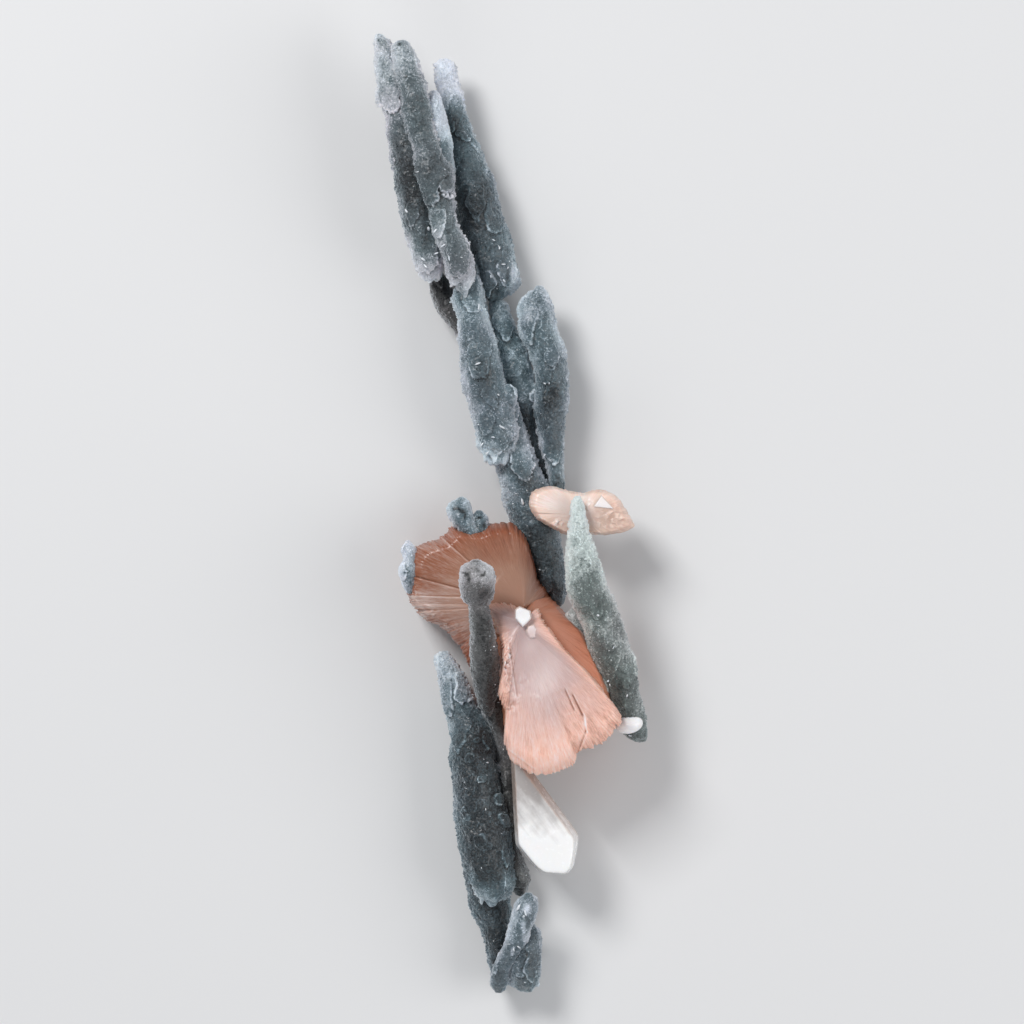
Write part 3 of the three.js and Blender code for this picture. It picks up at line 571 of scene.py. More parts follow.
# The main stem: a long back finger that runs down behind the large sheaf, and a front finger fused to
# it that ends halfway down in a ragged pale fringe. A small round knob grew in the seam at its right.
STEM_BACK = [
    [50.5, -8.9, -5.3, 8, 3], [45.9, -10.3, -5.3, 8, 4], [40.9, -10.5, -4.7, 7.6, 4.6],
    [34.9, -9.5, -2.7, 7.2, 5], [28.9, -8.9, -1.5, 7, 5], [24.5, -8.1, -0.5, 6.8, 5.2],
    [21.9, -6.9, 1.7, 6.6, 5.4], [16.9, -5.3, 3.3, 6.2, 5.6], [11.9, -3.9, 4.9, 6, 5.8],
    [7.9, -2.7, 6.9, 6, 5.8], [4.9, -1.9, 8.3, 5.8, 5.6], [-1.1, -0.3, 9.5, 5.6, 5.4],
    [-6.1, 0.9, 10.1, 5.6, 5.2], [-12.1, 3.5, 11.1, 5.6, 4.6], [-15.1, 5.9, 11.3, 5.6, 3.6],
    [-16.9, 8.1, 10.7, 5.6, 1.6],
]
STEM_FRONT = [
    [47.7, -9.7, -6.1, 11.4, 2.4], [42.9, -11.6, -5.7, 11.6, 3.6], [38.9, -10.5, -4.3, 11.6, 4],
    [32.9, -10.1, -2.7, 11.4, 4.2], [26.5, -9.8, -1.1, 11, 4.4], [22.9, -8.5, 0.1, 10.8, 4.4],
    [17.9, -7.5, 1.5, 10.6, 4.2], [13.9, -6.5, 1.5, 10.4, 3.6], [11.3, -4.9, 0.1, 10.2, 2.2],
]
stalactite(
    "stem_back", "main_stem", STEM_BACK, 33,
    # The tone falls from the level 4 down, where this finger runs behind the large sheaf: painted shade.
    tones=((50, 0.45), (24, 0.48), (14, 0.51), (4, 0.48), (-1, 0.31), (-8, 0.20), (-17, 0.20)),
    lobe_count=2, draped=0.2, step=0.19,
    lobes=((0.3, 21.6, 1.4, 3.6, 0.6, 1), (2.6, 12.0, 2.2, 6.0, 0.4, 1)),
    clouds=((3.2, -1.6, 2.0, 1.0, 0.12), (5.0, -7.4, 1.6, 1.2, 0.2), (4.0, -5.4, 2.0, 1.4, -0.2)))
STEM_KNOB = [
    [25.7, -1.2, 0.3, 12.6, 0.6], [25.2, -1.6, 0.9, 12.6, 1.3], [23.8, -1.7, 1.2, 12.6, 1.7],
    [22.2, -1.4, 1.1, 12.4, 1.5], [21.2, -0.8, 0.5, 12.2, 0.6],
]
stalactite(
    "stem_knob", "main_stem", STEM_KNOB, 34, draped=0.0, tatters=0.1, coarse=0.7,
    tones=((26, 0.62), (21, 0.50)))
stalactite(
    "stem_front", "main_stem", STEM_FRONT, 32,
    tones=((48, 0.46), (42, 0.53), (34, 0.50), (24, 0.46), (16, 0.57), (11, 0.66)),
    draped=0.12,
    lobes=((-3.4, 14.4, 3.2, 4.4, 0.5, 1), (-6.4, 33.0, 2.8, 6.4, 0.3, 1),
        (-4.0, 23.5, 1.5, 1.9, 0.15, 1), (-5.4, 18.6, 1.8, 3.0, 0.15, 1),
        (-7.6, 43.8, 2.2, 2.6, 0.25, 1)),
    clouds=((-5.6, 30.6, 1.4, 4.0, -0.14), (-4.4, 25.0, 1.6, 3.0, -0.10), (-3.6, 12.6, 3.0, 2.2, 0.16)))

# The middle finger: a flat lobed finger between the stem and the side stalactite. It carries a small
# round knob at its right, and below that a thin end runs on, its tone painted dark for the shade it lies
# in.
MIDDLE_FINGER = [
    [43.5, -3.9, -1.9, 6, 1.2], [42.1, -4.3, -0.7, 6, 2.2], [36.9, -3.7, 1.5, 5.6, 3.2],
    [32.9, -3.1, 3.6, 5.2, 3.6], [28.5, -2.3, 4.6, 5, 3.8], [26.7, -1.9, 5.0, 5, 3.7],
    [24.9, -1.7, 6.5, 5, 3.6], [23.3, -1.3, 6.4, 5, 3.4], [21.6, -0.2, 5.2, 4.8, 3.1],
    [17.5, 1.6, 5.4, 4.2, 2.8], [12.9, 3.4, 6.4, 4, 2.6], [8.9, 5.0, 7.6, 4, 2.2],
    [6.9, 6.4, 7.8, 4, 1.2],
]
stalactite(
    "middle_finger_skin", "middle_finger", MIDDLE_FINGER, 41,
    tones=((43, 0.52), (30, 0.56), (23, 0.52), (20, 0.26), (7, 0.20)),
    lobes=((5.3, 24.3, 1.4, 1.5, 0.5, 0), (-1.4, 39.0, 1.9, 4.0, 0.5, 1)),
    clouds=((5.2, 24.4, 1.1, 1.1, 0.16),))

# The side stalactite: a broad pale finger with a round tip, to the right of the stem.
SIDE_STALACTITE = [
    [45.5, 4.9, 6.7, 9, 1], [44.3, 3.3, 7.5, 9, 2.2], [42.1, 1.7, 8.3, 9, 3.2], [38.9, 1.3, 9.1, 8.8, 4],
    [35.9, 2.1, 9.9, 8.4, 4.4], [32.9, 3.7, 10.9, 8, 4.6], [26.9, 5.0, 11.7, 7.2, 4.6],
    [22.9, 4.7, 11.5, 6.8, 4.6], [17.9, 5.2, 11, 6.4, 4.6], [12.9, 6.3, 10.6, 6, 4.2],
    [5.9, 7.9, 10.7, 6, 3.6], [0.5, 8.1, 10.1, 6, 1.6],
]
stalactite(
    "side_finger", "side_stalactite", SIDE_STALACTITE, 51,
    tones=((45, 0.64), (38, 0.56), (30, 0.46), (20, 0.38), (8, 0.38), (0, 0.34)),
    lobe_count=4,
    lobes=((3.6, 37.6, 1.9, 5.4, 0.8, 1), (8.6, 14.4, 2.2, 4.6, 0.4, 1)),
    clouds=((7.6, 23.6, 2.4, 3.2, -0.26), (5.2, 20.0, 1.2, 3.0, -0.16), (6.9, 39.5, 0.8, 3.6, -0.14),
        (5.8, 42.6, 0.3, 0.3, -0.3), (10.0, 31.0, 1.2, 4.0, 0.08)))

# The right stalactite: a green-grey finger that stands in front of the small sheaf, with a short pale
# finger fused to its left side.
GREEN_CHALCEDONY = chalcedony("Green grey chalcedony", (0.016, 0.020, 0.018), (0.142, 0.168, 0.160),
                              (0.75, 0.79, 0.77))
RIGHT_STALACTITE = [
    [3.3, 12.7, 14, 19, 0.7], [1.9, 12, 14.6, 19, 1.4], [-1.1, 11.7, 15.1, 19, 1.8],
    [-6.7, 11.1, 16.9, 18.6, 2.8], [-13.1, 10.9, 19.1, 18, 3.8], [-17.1, 11.9, 20.5, 17.6, 4.2],
    [-21.1, 13.9, 22.1, 17, 4.2], [-26.1, 15.3, 23.7, 16.2, 4.2], [-29.5, 15.9, 24.5, 15.4, 4.2],
    [-33.1, 17.9, 25.3, 14.2, 4.2], [-37.1, 19.7, 26.1, 12.6, 4.4], [-41.5, 21.5, 27.1, 11, 4.4],
    [-44.1, 22.9, 27.4, 10.2, 3.4], [-45.1, 24.5, 27.2, 10, 1.6],
]
SMALL_PALE_FINGER = [
    [-18.9, 12.1, 13.3, 13, 0.8], [-19.9, 11, 14.3, 13, 1.6], [-22.3, 11.3, 14.5, 13, 1.9],
    [-24.7, 12.5, 15.5, 13.4, 1.6], [-26.3, 13.7, 15.5, 14, 0.8],
]
stalactite(
    "right_finger", "right_stalactite", RIGHT_STALACTITE, 61, material=GREEN_CHALCEDONY,
    tatters=0.2, coarse=0.9,
    tones=((3, 0.98), (-4, 0.94), (-9, 0.68), (-18, 0.50), (-27, 0.46), (-33, 0.34), (-45, 0.36)),
    lobe_count=6,
    clouds=((12.6, -12.0, 1.4, 5.0, 0.10), (16.6, -14.0, 1.2, 5.0, -0.10), (15.4, -30.4, 3.0, 1.2, 0.16),
        (21.5, -35.5, 1.6, 2.0, -0.14), (25.5, -41.0, 1.0, 5.0, 0.16)))
stalactite(
    "small_pale_finger", "right_stalactite", SMALL_PALE_FINGER, 62, material=GREEN_CHALCEDONY,
    draped=0.1, tatters=0.2,
    tones=((-18, 0.66), (-26, 0.56)))

# The knobbed stalactite: it stands out in front of the large sheaf, with a round pale head over a
# thin dark neck, whose tone is painted darker still towards its lower end as shade.
KNOBBED_STALACTITE = [
    [-9.3, -7.9, -5.5, 27.4, 1.2], [-10.3, -9.6, -3.8, 27.4, 3.0], [-12.3, -10.2, -3.0, 27.4, 3.9],
    [-14.3, -10.2, -3.1, 26.6, 3.9], [-16.3, -9.5, -3.5, 25.4, 3.4], [-18.1, -8.2, -4.5, 24.4, 2.6],
    [-21.1, -8.1, -3.7, 23.4, 2.7], [-26.1, -8.1, -2.5, 21.4, 3], [-31.1, -7.7, -2.2, 19, 3],
    [-35.1, -7.1, -2.6, 16.6, 2.8], [-38.3, -6.1, -3.3, 14.6, 2.2], [-39.9, -5.3, -3.9, 13.8, 1],
]
stalactite(
    "knobbed_finger", "knobbed_stalactite", KNOBBED_STALACTITE, 71, material=DARK_CHALCEDONY, draped=0.1,
    tatters=0.2, coarse=0.8,
    tones=((-9, 0.62), (-13, 0.56), (-15.5, 0.38), (-18, 0.24), (-26, 0.24), (-36, 0.09)),
    lobe_count=3,
    clouds=((-8.6, -11.8, 0.42, 0.30, -0.9), (-8.2, -12.7, 0.24, 0.50, -0.7),
        (-9.2, -11.5, 0.40, 0.14, -0.7), (-5.4, -11.9, 0.34, 0.24, -0.8),
        (-5.0, -11.4, 0.16, 0.36, -0.6), (-4.9, -15.6, 1.3, 1.3, -0.30), (-4.4, -22.0, 1.2, 5.0, -0.22),
        (-4.2, -31.0, 1.4, 6.0, -0.20), (-7.4, -22.0, 0.8, 9.0, 0.16)))

# Two small fingers at the large sheaf's edge: a whitish one at the left, and a stub of two grey lumps
# at the top.
LEFT_EDGE_FINGER = [
    [-5.5, -21.1, -19.9, 12.4, 0.6], [-6.7, -21.8, -18.9, 12.4, 1.4], [-9.1, -21.5, -18.7, 12.4, 1.6],
    [-11.3, -22.4, -18.5, 12.4, 2], [-13.7, -21.9, -18.7, 12.2, 1.8], [-15.5, -20.9, -19.3, 12, 0.8],
]
TOP_STUB_LEFT = [
    [3.1, -10.7, -8.9, 12, 0.9], [2.1, -12.3, -8.1, 12, 2], [0.5, -12.7, -7.7, 12, 2.4],
    [-1.9, -11.5, -6.9, 12.2, 2.4], [-4.3, -9.9, -6.1, 12.6, 1.4],
]
TOP_STUB_RIGHT = [
    [0.5, -7.1, -5.5, 11, 0.9], [-0.7, -8.1, -4.5, 11, 1.7], [-2.7, -7.9, -4.3, 11.4, 1.9],
    [-5.1, -7.1, -4.7, 12, 1.2],
]
stalactite(
    "left_edge_skin", "left_edge_finger", LEFT_EDGE_FINGER, 81, draped=0.1, tatters=0.2, coarse=0.6,
    tones=((-5, 0.92), (-16, 0.76)),
    lobes=((-21.6, -11.6, 1.5, 1.7, 0.7, 0),),
    clouds=((-21.0, -11.6, 0.25, 0.2, -0.6),))
stalactite(
    "top_stub_left", "top_stub", TOP_STUB_LEFT, 82, draped=0.1,
    tones=((3, 0.60), (-4, 0.50)),
    lobe_count=2,
    clouds=((-10.7, 1.1, 0.8, 0.22, -0.9), (-9.7, 0.6, 0.5, 0.36, -0.9), (-9.1, -0.3, 0.24, 0.6, -0.6)))
stalactite(
    "top_stub_right", "top_stub", TOP_STUB_RIGHT, 83, draped=0.1,
    tones=((1, 0.52), (-5, 0.46)),
    clouds=((-6.2, -0.6, 0.5, 0.24, -0.8), (-5.3, -2.3, 0.22, 0.5, -0.8)))

# The lower left stalactite: a thick dark finger with round disc scars, pale only at its tip, and the
# thin stem that goes on below it.
LOWER_LEFT = [
    [-27.7, -14.5, -12.3, 8, 0.9], [-28.7, -15.2, -11.8, 8, 1.6], [-31.5, -14.7, -9.7, 7.8, 2.6],
    [-35.1, -14.2, -8.1, 7.2, 3.8], [-39.1, -13.3, -6.1, 6.8, 5], [-43.1, -12.3, -2.9, 6.6, 6.2],
    [-49.1, -12.1, -3.1, 6.6, 7], [-55.1, -11.5, -1.9, 6.6, 7.2], [-61.1, -11, -0.1, 6.6, 7.3],
    [-67.1, -10.3, 0.7, 6.8, 7.3], [-71.5, -8.8, 0.9, 7.4, 6.4], [-75.1, -7.5, 0.3, 8, 4.6],
    [-77.7, -5.7, -2.3, 8.4, 2],
]
LOWER_STEM = [
    [-69.1, -9.3, -0.5, 4.8, 4.6], [-74.1, -8.9, -0.5, 4.6, 4.6], [-79.1, -8.1, 0.1, 4.6, 4.4],
    [-83.1, -6.3, 0.3, 4.6, 4], [-87.1, -4.9, 0.1, 4.6, 3.4], [-91.1, -4.2, -1.3, 4.8, 2.4],
    [-93.5, -3.7, -2.5, 5, 1],
]
stalactite(
    "lower_left_finger", "lower_left_stalactite", LOWER_LEFT, 91,
    tones=((-28, 0.94), (-33, 0.74), (-37, 0.60), (-40, 0.32), (-45, 0.14), (-55, 0.05), (-70, 0.02),
        (-77, 0.28)),
    lobe_count=8, step=0.18,
    lobes=((-9.3, -34.9, 1.9, 3.9, 0.6, 1), (-12.6, -36.0, 1.6, 5.0, 0.4, 1),
        (-5.7, -52.7, 1.2, 1.2, 0.45, 0), (-8.7, -60.1, 1.4, 1.4, 0.4, 0),
        (-5.5, -65.7, 1.8, 1.8, 0.4, 0), (-2.5, -56.5, 1.6, 1.6, 0.5, 0),
        (-1.1, -61.1, 1.6, 1.6, 0.5, 0), (-8.5, -49.5, 1.2, 1.2, 0.35, 0),
        (-6.5, -44.7, 1.0, 1.0, 0.35, 0), (-10.0, -44.0, 2.0, 4.0, 0.4, 1),
        (-4.5, -72.7, 3.4, 5.2, 0.6, 1), (-2.0, -49.4, 1.0, 2.0, 0.5, 1),
        (-1.2, -68.0, 1.2, 2.4, 0.5, 1)),
    clouds=((-5.7, -52.7, 1.0, 1.0, 0.20), (-8.9, -60.8, 1.3, 0.7, 0.16), (-4.1, -57.0, 1.5, 1.5, 0.10),
        (-9.4, -36.0, 2.0, 2.6, 0.14), (-5.4, -66.0, 1.5, 1.1, 0.12), (-4.3, -76.6, 3.0, 1.5, 0.50),
        (-7.6, -72.8, 0.9, 2.4, 0.34), (-0.9, -73.4, 0.9, 2.2, 0.30), (-5.2, -75.0, 1.8, 1.0, 0.24),
        (-4.3, -70.9, 2.0, 2.6, -0.14), (-11.4, -56.0, 1.0, 12.0, 0.12)))
stalactite(
    "lower_stem", "lower_left_stalactite", LOWER_STEM, 92, tatters=0.2,
    tones=((-69, 0.14), (-80, 0.10), (-93, 0.22)),
    lobe_count=6)

# The lower back stalactite: a knotty brown-grey finger in the shade, which carries the white crystal
# and ties the lower group to the sheaf.
LOWER_BACK = [
    [-36.7, -5.5, -2.1, 12, 2], [-39.5, -5.5, -0.9, 9.6, 4], [-43.1, -4.7, -0.5, 7, 5],
    [-46.1, -3.5, 1.9, 5.6, 5], [-49.5, -2.7, 2.9, 4.8, 4.6], [-54.1, -2.5, 1.3, 4.4, 4.2],
    [-59.5, -1.7, 1.4, 4.4, 3.8], [-65.1, -1.1, 1.3, 4.4, 3.6], [-69.5, -1.1, 2.5, 4.6, 4],
    [-73.1, -0.7, 3.9, 4.8, 4], [-75.7, 0.7, 3.1, 5, 1.8],
]
stalactite(
    "lower_back_finger", "lower_back_stalactite", LOWER_BACK, 95, material=DARK_CHALCEDONY,
    tones=((-37, 0.2), (-48, 0.34), (-76, 0.26)),
    lobe_count=9)

# The bottom finger and the lump behind it: both pale, at the lower end of the specimen.
BOTTOM_FINGER = [
    [-75.9, 2.7, 4.5, 13, 0.9], [-76.9, 1.3, 5.4, 13, 2], [-79.5, 0.4, 5.2, 12.6, 2.4],
    [-83.1, -0.5, 4.1, 12, 2.5], [-87.1, -1.9, 2.8, 10.6, 2.6], [-91.5, -3.5, 0.3, 8.8, 2.4],
    [-94.3, -4.1, -0.5, 7.6, 2], [-95.7, -3.1, -1.5, 7, 0.8],
]
BOTTOM_LUMP = [
    [-82.5, 2.9, 5.1, 8, 1.6], [-84.1, 1.3, 6.1, 7.4, 3.6], [-88.1, -0.5, 6.2, 6.4, 5.6],
    [-92.1, -0.7, 5.9, 6.2, 5.4], [-94.3, 0.1, 5.5, 6.2, 3.8], [-95.5, 1.7, 4.3, 6.2, 1.6],
]
stalactite(
    "bottom_finger_skin", "bottom_finger", BOTTOM_FINGER, 97, tatters=0.1,
    tones=((-76, 0.52), (-84, 0.44), (-96, 0.38)),
    lobe_count=4,
    clouds=((3.3, -78.6, 0.8, 1.1, 0.6), (2.6, -82.4, 0.5, 1.6, 0.4), (0.4, -87.4, 0.4, 1.0, 0.3)))
stalactite(
    "bottom_lump_skin", "bottom_lump", BOTTOM_LUMP, 98, tatters=0.2,
    tones=((-82, 0.34), (-90, 0.38), (-96, 0.44)),
    lobe_count=5,
    lobes=((4.2, -90.0, 1.8, 4.4, 0.5, 1),))

# The large sheaf: a bow tie of thin peach crystal plates that spread from a narrow waist. Its upper
# half opens to the top left, its lower half to the bottom right, under a pale front blade.
RIM_COLUMNS = 800
FRONT_RINGS = 84
WALL_RINGS = 14
BACK_RINGS = 24
SHOULDER = 0.86
BLUNT = 0.5
THIN_EDGE = 0.4
RIB_WIDTH, RIB_LENGTH = 0.32, 3.2
TOOTH_WIDTH, LEAF_WIDTH = 0.55, 0.9
CRUST_GRAIN = 0.8


def rim_curve(rim, count):
    """Even steps round a closed curve through the rim's points, as cubics whose slope at a point is
    0.3 of the way between its neighbours. Gives the points and the length walked, clockwise seen from
    the front."""
    points = np.asarray(rim, float)
    area = (points[:, 0] * np.roll(points[:, 1], -1) - points[:, 1] * np.roll(points[:, 0], -1)).sum()
    if area > 0:
        points = points[::-1]
    slope = 0.3 * (np.roll(points, -1, axis=0) - np.roll(points, 1, axis=0))
    t = np.linspace(0, 1, 40, endpoint=False)[:, None]
    after, slope_after = np.roll(points, -1, axis=0)[:, None], np.roll(slope, -1, axis=0)[:, None]
    curve = ((2 * t ** 3 - 3 * t ** 2 + 1) * points[:, None] + (t ** 3 - 2 * t ** 2 + t) * slope[:, None]
             + (3 * t ** 2 - 2 * t ** 3) * after + (t ** 3 - t ** 2) * slope_after).reshape(-1, 2)
    length = np.linalg.norm(np.roll(curve, -1, axis=0) - curve, axis=1)
    walked = np.concatenate([[0], np.cumsum(length)])
    at = np.linspace(0, walked[-1], count, endpoint=False)
    closed = np.vstack([curve, curve[:1]])
    rim = np.column_stack([np.interp(at, walked, closed[:, 0]), np.interp(at, walked, closed[:, 1])])
    return rim, at


def broken_steps(x, y, steps):
    """Height, edge and slit of plates broken along lines. To the right of a line (x0, y0, x1, y1,
    drop), as one walks along it, the surface lies lower by the drop, which fades over a few
    millimetres. The edge is a narrow band on the higher side, which the sheaf draws lighter as a
    painted highlight; the slit is a band on the lower side."""
    height = np.zeros(x.shape)
    edge = np.zeros(x.shape)
    slit = np.zeros(x.shape)
    for x0, y0, x1, y1, drop in steps:
        run = math.hypot(x1 - x0, y1 - y0)
        along = ((x - x0) * (x1 - x0) + (y - y0) * (y1 - y0)) / run
        right = ((x - x0) * (y1 - y0) - (y - y0) * (x1 - x0)) / run
        near = np.clip(along / 0.5 + 1, 0, 1) * np.clip((run - along) / 0.5 + 1, 0, 1)
        height -= drop * near * np.exp(-np.maximum(right, 0) / 1.6) * np.clip(right / 0.15 + 0.5, 0, 1)
        edge += near * bell(right, 0.16, -0.14)
        slit += near * bell(right, 0.18, 0.16) * np.clip(1.6 * drop, 0, 1)
    return height, edge, slit


def sheaf(name, node, material, waist, axis, lobes, middle, half, rim, seed, plates=24, plate_lift=0.16,
          rib=0.07, tooth=0.22, droop=0.0, columns=RIM_COLUMNS, front_rings=FRONT_RINGS, steps=(),
          rough=(), clouds=()):
    """A sheaf of plates: rays from the waist to the rim, cut into plates of random width. A point at
    the share s of its ray lies at the middle level plus or minus the half thickness, which grows to
    the rim and is greatest along the axis. Each plate has its own lift, lean and length, fine ribs run
    along the rays, and the rim is a ragged wall. Steps are broken plates, rough spots are crusted with
    small crystals, and the droop lowers the side that faces away from the axis."""
    random = np.random.default_rng(seed)
    edge, walked = rim_curve(rim, columns)
    out = edge - waist
    reach = np.linalg.norm(out, axis=1)
    off = np.arctan2(out[:, 1], out[:, 0]) - math.radians(axis)
    share = np.abs(np.cos(off)) if lobes == 2 else np.maximum(0, np.cos(off))
    thick = THIN_EDGE + (1 - THIN_EDGE) * share
    front = np.linspace(0.015, 1, front_rings) ** 0.85
    back = np.linspace(1, 0.02, BACK_RINGS)
    wall = np.linspace(1, -1, WALL_RINGS + 2)[1:-1]
    s = np.concatenate([front, np.ones(WALL_RINGS), back])[:, None]
    side = np.concatenate([np.ones(front_rings), wall, -np.ones(BACK_RINGS)])[:, None]
    flow = np.stack(np.broadcast_arrays(walked / RIB_WIDTH, s * reach / RIB_LENGTH, 3.0 * side), axis=-1)
    fine = soft_noise(flow, 1.0, seed) - 0.5
    broad = soft_noise(flow * np.array([0.35, 0.5, 1.0]), 1.0, seed + 1) - 0.5

    bounds = np.sort(random.uniform(0, columns, plates)).astype(int)
    plate = np.searchsorted(bounds, np.arange(columns)) % plates
    first = np.concatenate([[0], bounds])[:-1][plate]
    across = (np.arange(columns) - first) / np.maximum(np.bincount(plate, minlength=plates)[plate], 1)
    lift = random.uniform(-1, 1, plates)[plate] * plate_lift
    lean = random.uniform(-1, 1, plates)[plate] * plate_lift
    length = random.uniform(-1.4, 0.3, plates)[plate] * tooth
    spread = (0.25 + 0.75 * np.clip(share * 1.6, 0, 1)) * np.minimum(1, 1.15 * s) ** 2.5
    relief = spread * (lift + lean * (across - 0.5) + rib * (fine + 1.6 * broad))
    over = np.clip((s - SHOULDER) / (1 - SHOULDER), 0, 1)
    at_rim = half[1] * thick * (1 - (1 - BLUNT) * over ** 2)
    thickness = half[0] + s * (at_rim - half[0])
    level = middle[0] + s * (middle[1] - middle[0]) + side * thickness
    level = level + np.sign(side) * relief - droop * s ** 2 * (1 - np.cos(off)) / 2
    teeth = np.stack([walked / TOOTH_WIDTH, 0 * walked, 0 * walked], axis=-1)
    jag = np.abs(soft_noise(teeth, 1.0, seed + 2) - 0.5)
    leaves = np.stack(np.broadcast_arrays(walked / LEAF_WIDTH, side * 7, 0 * side), axis=-1)
    layer = soft_noise(leaves, 1.0, seed + 3)
    grow = (length - 2.4 * tooth * jag + 0.35 * tooth) * np.clip((s - 0.6) / 0.4, 0, 1) ** 2
    grow = grow + 0.5 * (layer - 0.5) * (np.abs(side) < 1)
    scale = s * (1 + grow / np.maximum(reach, 3))
    x, y = waist[0] + scale * out[:, 0], waist[1] + scale * out[:, 1]
    broken, lit_edge, slit = broken_steps(x, y, steps)
    level = level + broken * (side > 0)
    crust = np.zeros(x.shape)
    for spot in rough:
        crust = np.maximum(crust, soft_spot(x, y, spot))
    rings = np.stack([x, y, np.maximum(level, RESTING_LEVEL)], axis=-1)
    facet = np.maximum(crystal_cells(rings, CRUST_GRAIN, seed + 4)[0] - 0.4, -0.1)
    rings[..., 2] += (side == 1) * crust * facet * np.minimum(1, (1 - s) / 0.06)
    # The crust's higher crystals are drawn lighter and its lower ones darker: painted sparkle and shade
    # over its real relief.
    tone = 0.5 + spread * (0.10 * lift / plate_lift + 0.20 * broad) + crust * (1.6 * facet - 0.25)
    # Painted highlight along the higher edge of each break; the slits are drawn darker.
    tone = tone + (0.22 * lit_edge - 0.6 * slit) * (side > 0)
    for cloud in clouds:
        tone = tone + soft_spot(x, y, cloud)
    every = np.ones(x.shape)
    piece = closed_mesh(name, rings, {"reach": s * every, "turn": walked * every, "ray": s * reach,
                                      "tone": np.clip(tone, 0, 1)})
    piece.data.materials.append(material)
    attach(piece, "root")
    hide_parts(node)


CLOUDS_PER_METRE, FINE_PER_METRE = 140.0, 1500.0
STREAKS_PER_MILLIMETRE = 2.6


def plate_grain_group():
    """Node group of the plates: the colour runs from the waist over the middle to the rim, drifts with
    soft clouds, and is drawn lighter or darker by the mesh's tone and by fine streaks along the rays."""
    colours = ("Waist", "Middle", "Rim", "Deep", "Pearl")
    tree, given, place = open_group("Plate grain", colours, ("Streaks",))
    reach, turn, ray, tone = (point_value(tree, layer) for layer in ("reach", "turn", "ray", "tone"))
    sway = calculate(tree, "MULTIPLY_ADD", cloudy(tree, place, CLOUDS_PER_METRE, 4.0), 0.5, -0.25)
    run = calculate(tree, "ADD", reach, sway)
    inner = mix_colours(tree, rescale(tree, run, 0.1, 0.5), given["Waist"], given["Middle"])
    body = mix_colours(tree, rescale(tree, run, 0.5, 0.98), inner, given["Rim"])
    fibre = add_node(tree, "ShaderNodeCombineXYZ", {0: turn, 1: calculate(tree, "MULTIPLY", ray, 0.16)})
    streak = cloudy(tree, fibre.outputs[0], STREAKS_PER_MILLIMETRE, 4.0, 0.75)
    outward_share = rescale(tree, reach, 0.15, 0.9, 0.12, 1.0)
    weight = calculate(tree, "MULTIPLY", given["Streaks"], outward_share)
    drawn = calculate(tree, "MULTIPLY_ADD", calculate(tree, "SUBTRACT", streak, 0.5), weight, tone)
    lighter = mix_colours(tree, rescale(tree, drawn, 0.5, 1.0), body, given["Pearl"])
    darker = mix_colours(tree, rescale(tree, drawn, 0.5, 0.0), lighter, given["Deep"])
    fine = cloudy(tree, place, FINE_PER_METRE, 3.0)
    height = calculate(tree, "MULTIPLY_ADD", streak, outward_share, fine)
    return close_group(tree, darker, rescale(tree, fine, 0.0, 1.0, 0.22, 0.5), height)


PLATE_GRAIN = plate_grain_group()


def plate_crystal(name, waist, middle, rim, deep, pearl, streaks):
    """Peach crystal: the plate grain's colours over light that wanders inside the crystal."""
    inputs = {"Waist": (*waist, 1), "Middle": (*middle, 1), "Rim": (*rim, 1), "Deep": (*deep, 1),
              "Pearl": (*pearl, 1), "Streaks": streaks}
    return patterned_material(name, PLATE_GRAIN, inputs, 0.35, 0.00012, {
        "Subsurface Weight": 0.4, "Subsurface Radius": (1.0, 0.6, 0.45), "Subsurface Scale": 0.001,
        "Coat Weight": 0.2, "Coat Roughness": 0.2, "IOR": 1.5,
    })


FAN_PEACH = plate_crystal(
    "Fan peach crystal", (0.38, 0.21, 0.145), (0.38, 0.205, 0.138), (0.30, 0.086, 0.034),
    (0.14, 0.045, 0.022), (0.60, 0.46, 0.41), 1.1)
STRIP_PEACH = plate_crystal(
    "Strip peach crystal", (0.42, 0.20, 0.13), (0.48, 0.21, 0.135), (0.53, 0.195, 0.105),
    (0.17, 0.055, 0.028), (0.56, 0.36, 0.28), 0.8)
FRONT_PINK = plate_crystal(
    "Front pink crystal", (0.48, 0.36, 0.355), (0.61, 0.425, 0.395), (0.90, 0.535, 0.42),
    (0.34, 0.15, 0.10), (0.90, 0.80, 0.78), 1.2)
sheaf(
    "large_sheaf_upper", "large_sheaf", FAN_PEACH, (2.7, -18.3), 140, 1, (11.5, 7.2), (5, 8),
    [(7.4, -16.1), (5.5, -11.9), (4.3, -7.6), (2.8, -3.8), (0.2, -1.6), (-4.1, -1.7), (-8.1, -2.9),
        (-12.1, -2.5), (-14.3, -4.7), (-18.7, -6.3), (-20.9, -9.5), (-21, -15.5), (-19.7, -18.3),
        (-17.3, -20.9), (-13.9, -22.5), (-10.7, -25.7), (-8.1, -30.7), (-3.7, -28.1), (-0.5, -25.1),
        (3.5, -21.5)],
    101, tooth=0.34,
    steps=((-3.5, -13.6, -13.3, -4.9, 0.25), (-6.5, -15.8, -19.4, -12.4, 0.35),
        (-8.5, -16.5, -20.4, -16.2, 0.25)),
    rough=((-17.0, -20.2, 2.6, 1.6, 0.35), (-19.6, -17.0, 1.4, 3.0, 0.3), (-12.5, -22.4, 2.6, 1.0, 0.3)),
    clouds=((-17.6, -10.4, 2.6, 2.4, 0.02), (-18.0, -17.5, 3.0, 2.0, 0.34),
        (-17.8, -20.6, 1.3, 0.9, 0.35), (-6.0, -7.5, 4.5, 3.0, -0.08), (3.0, -9.0, 1.4, 3.0, -0.12),
        (-14.0, -16.5, 5.5, 4.0, 0.20), (-8.5, -20.5, 3.5, 3.0, 0.10), (4.2, -13.5, 1.2, 3.0, 0.08)))
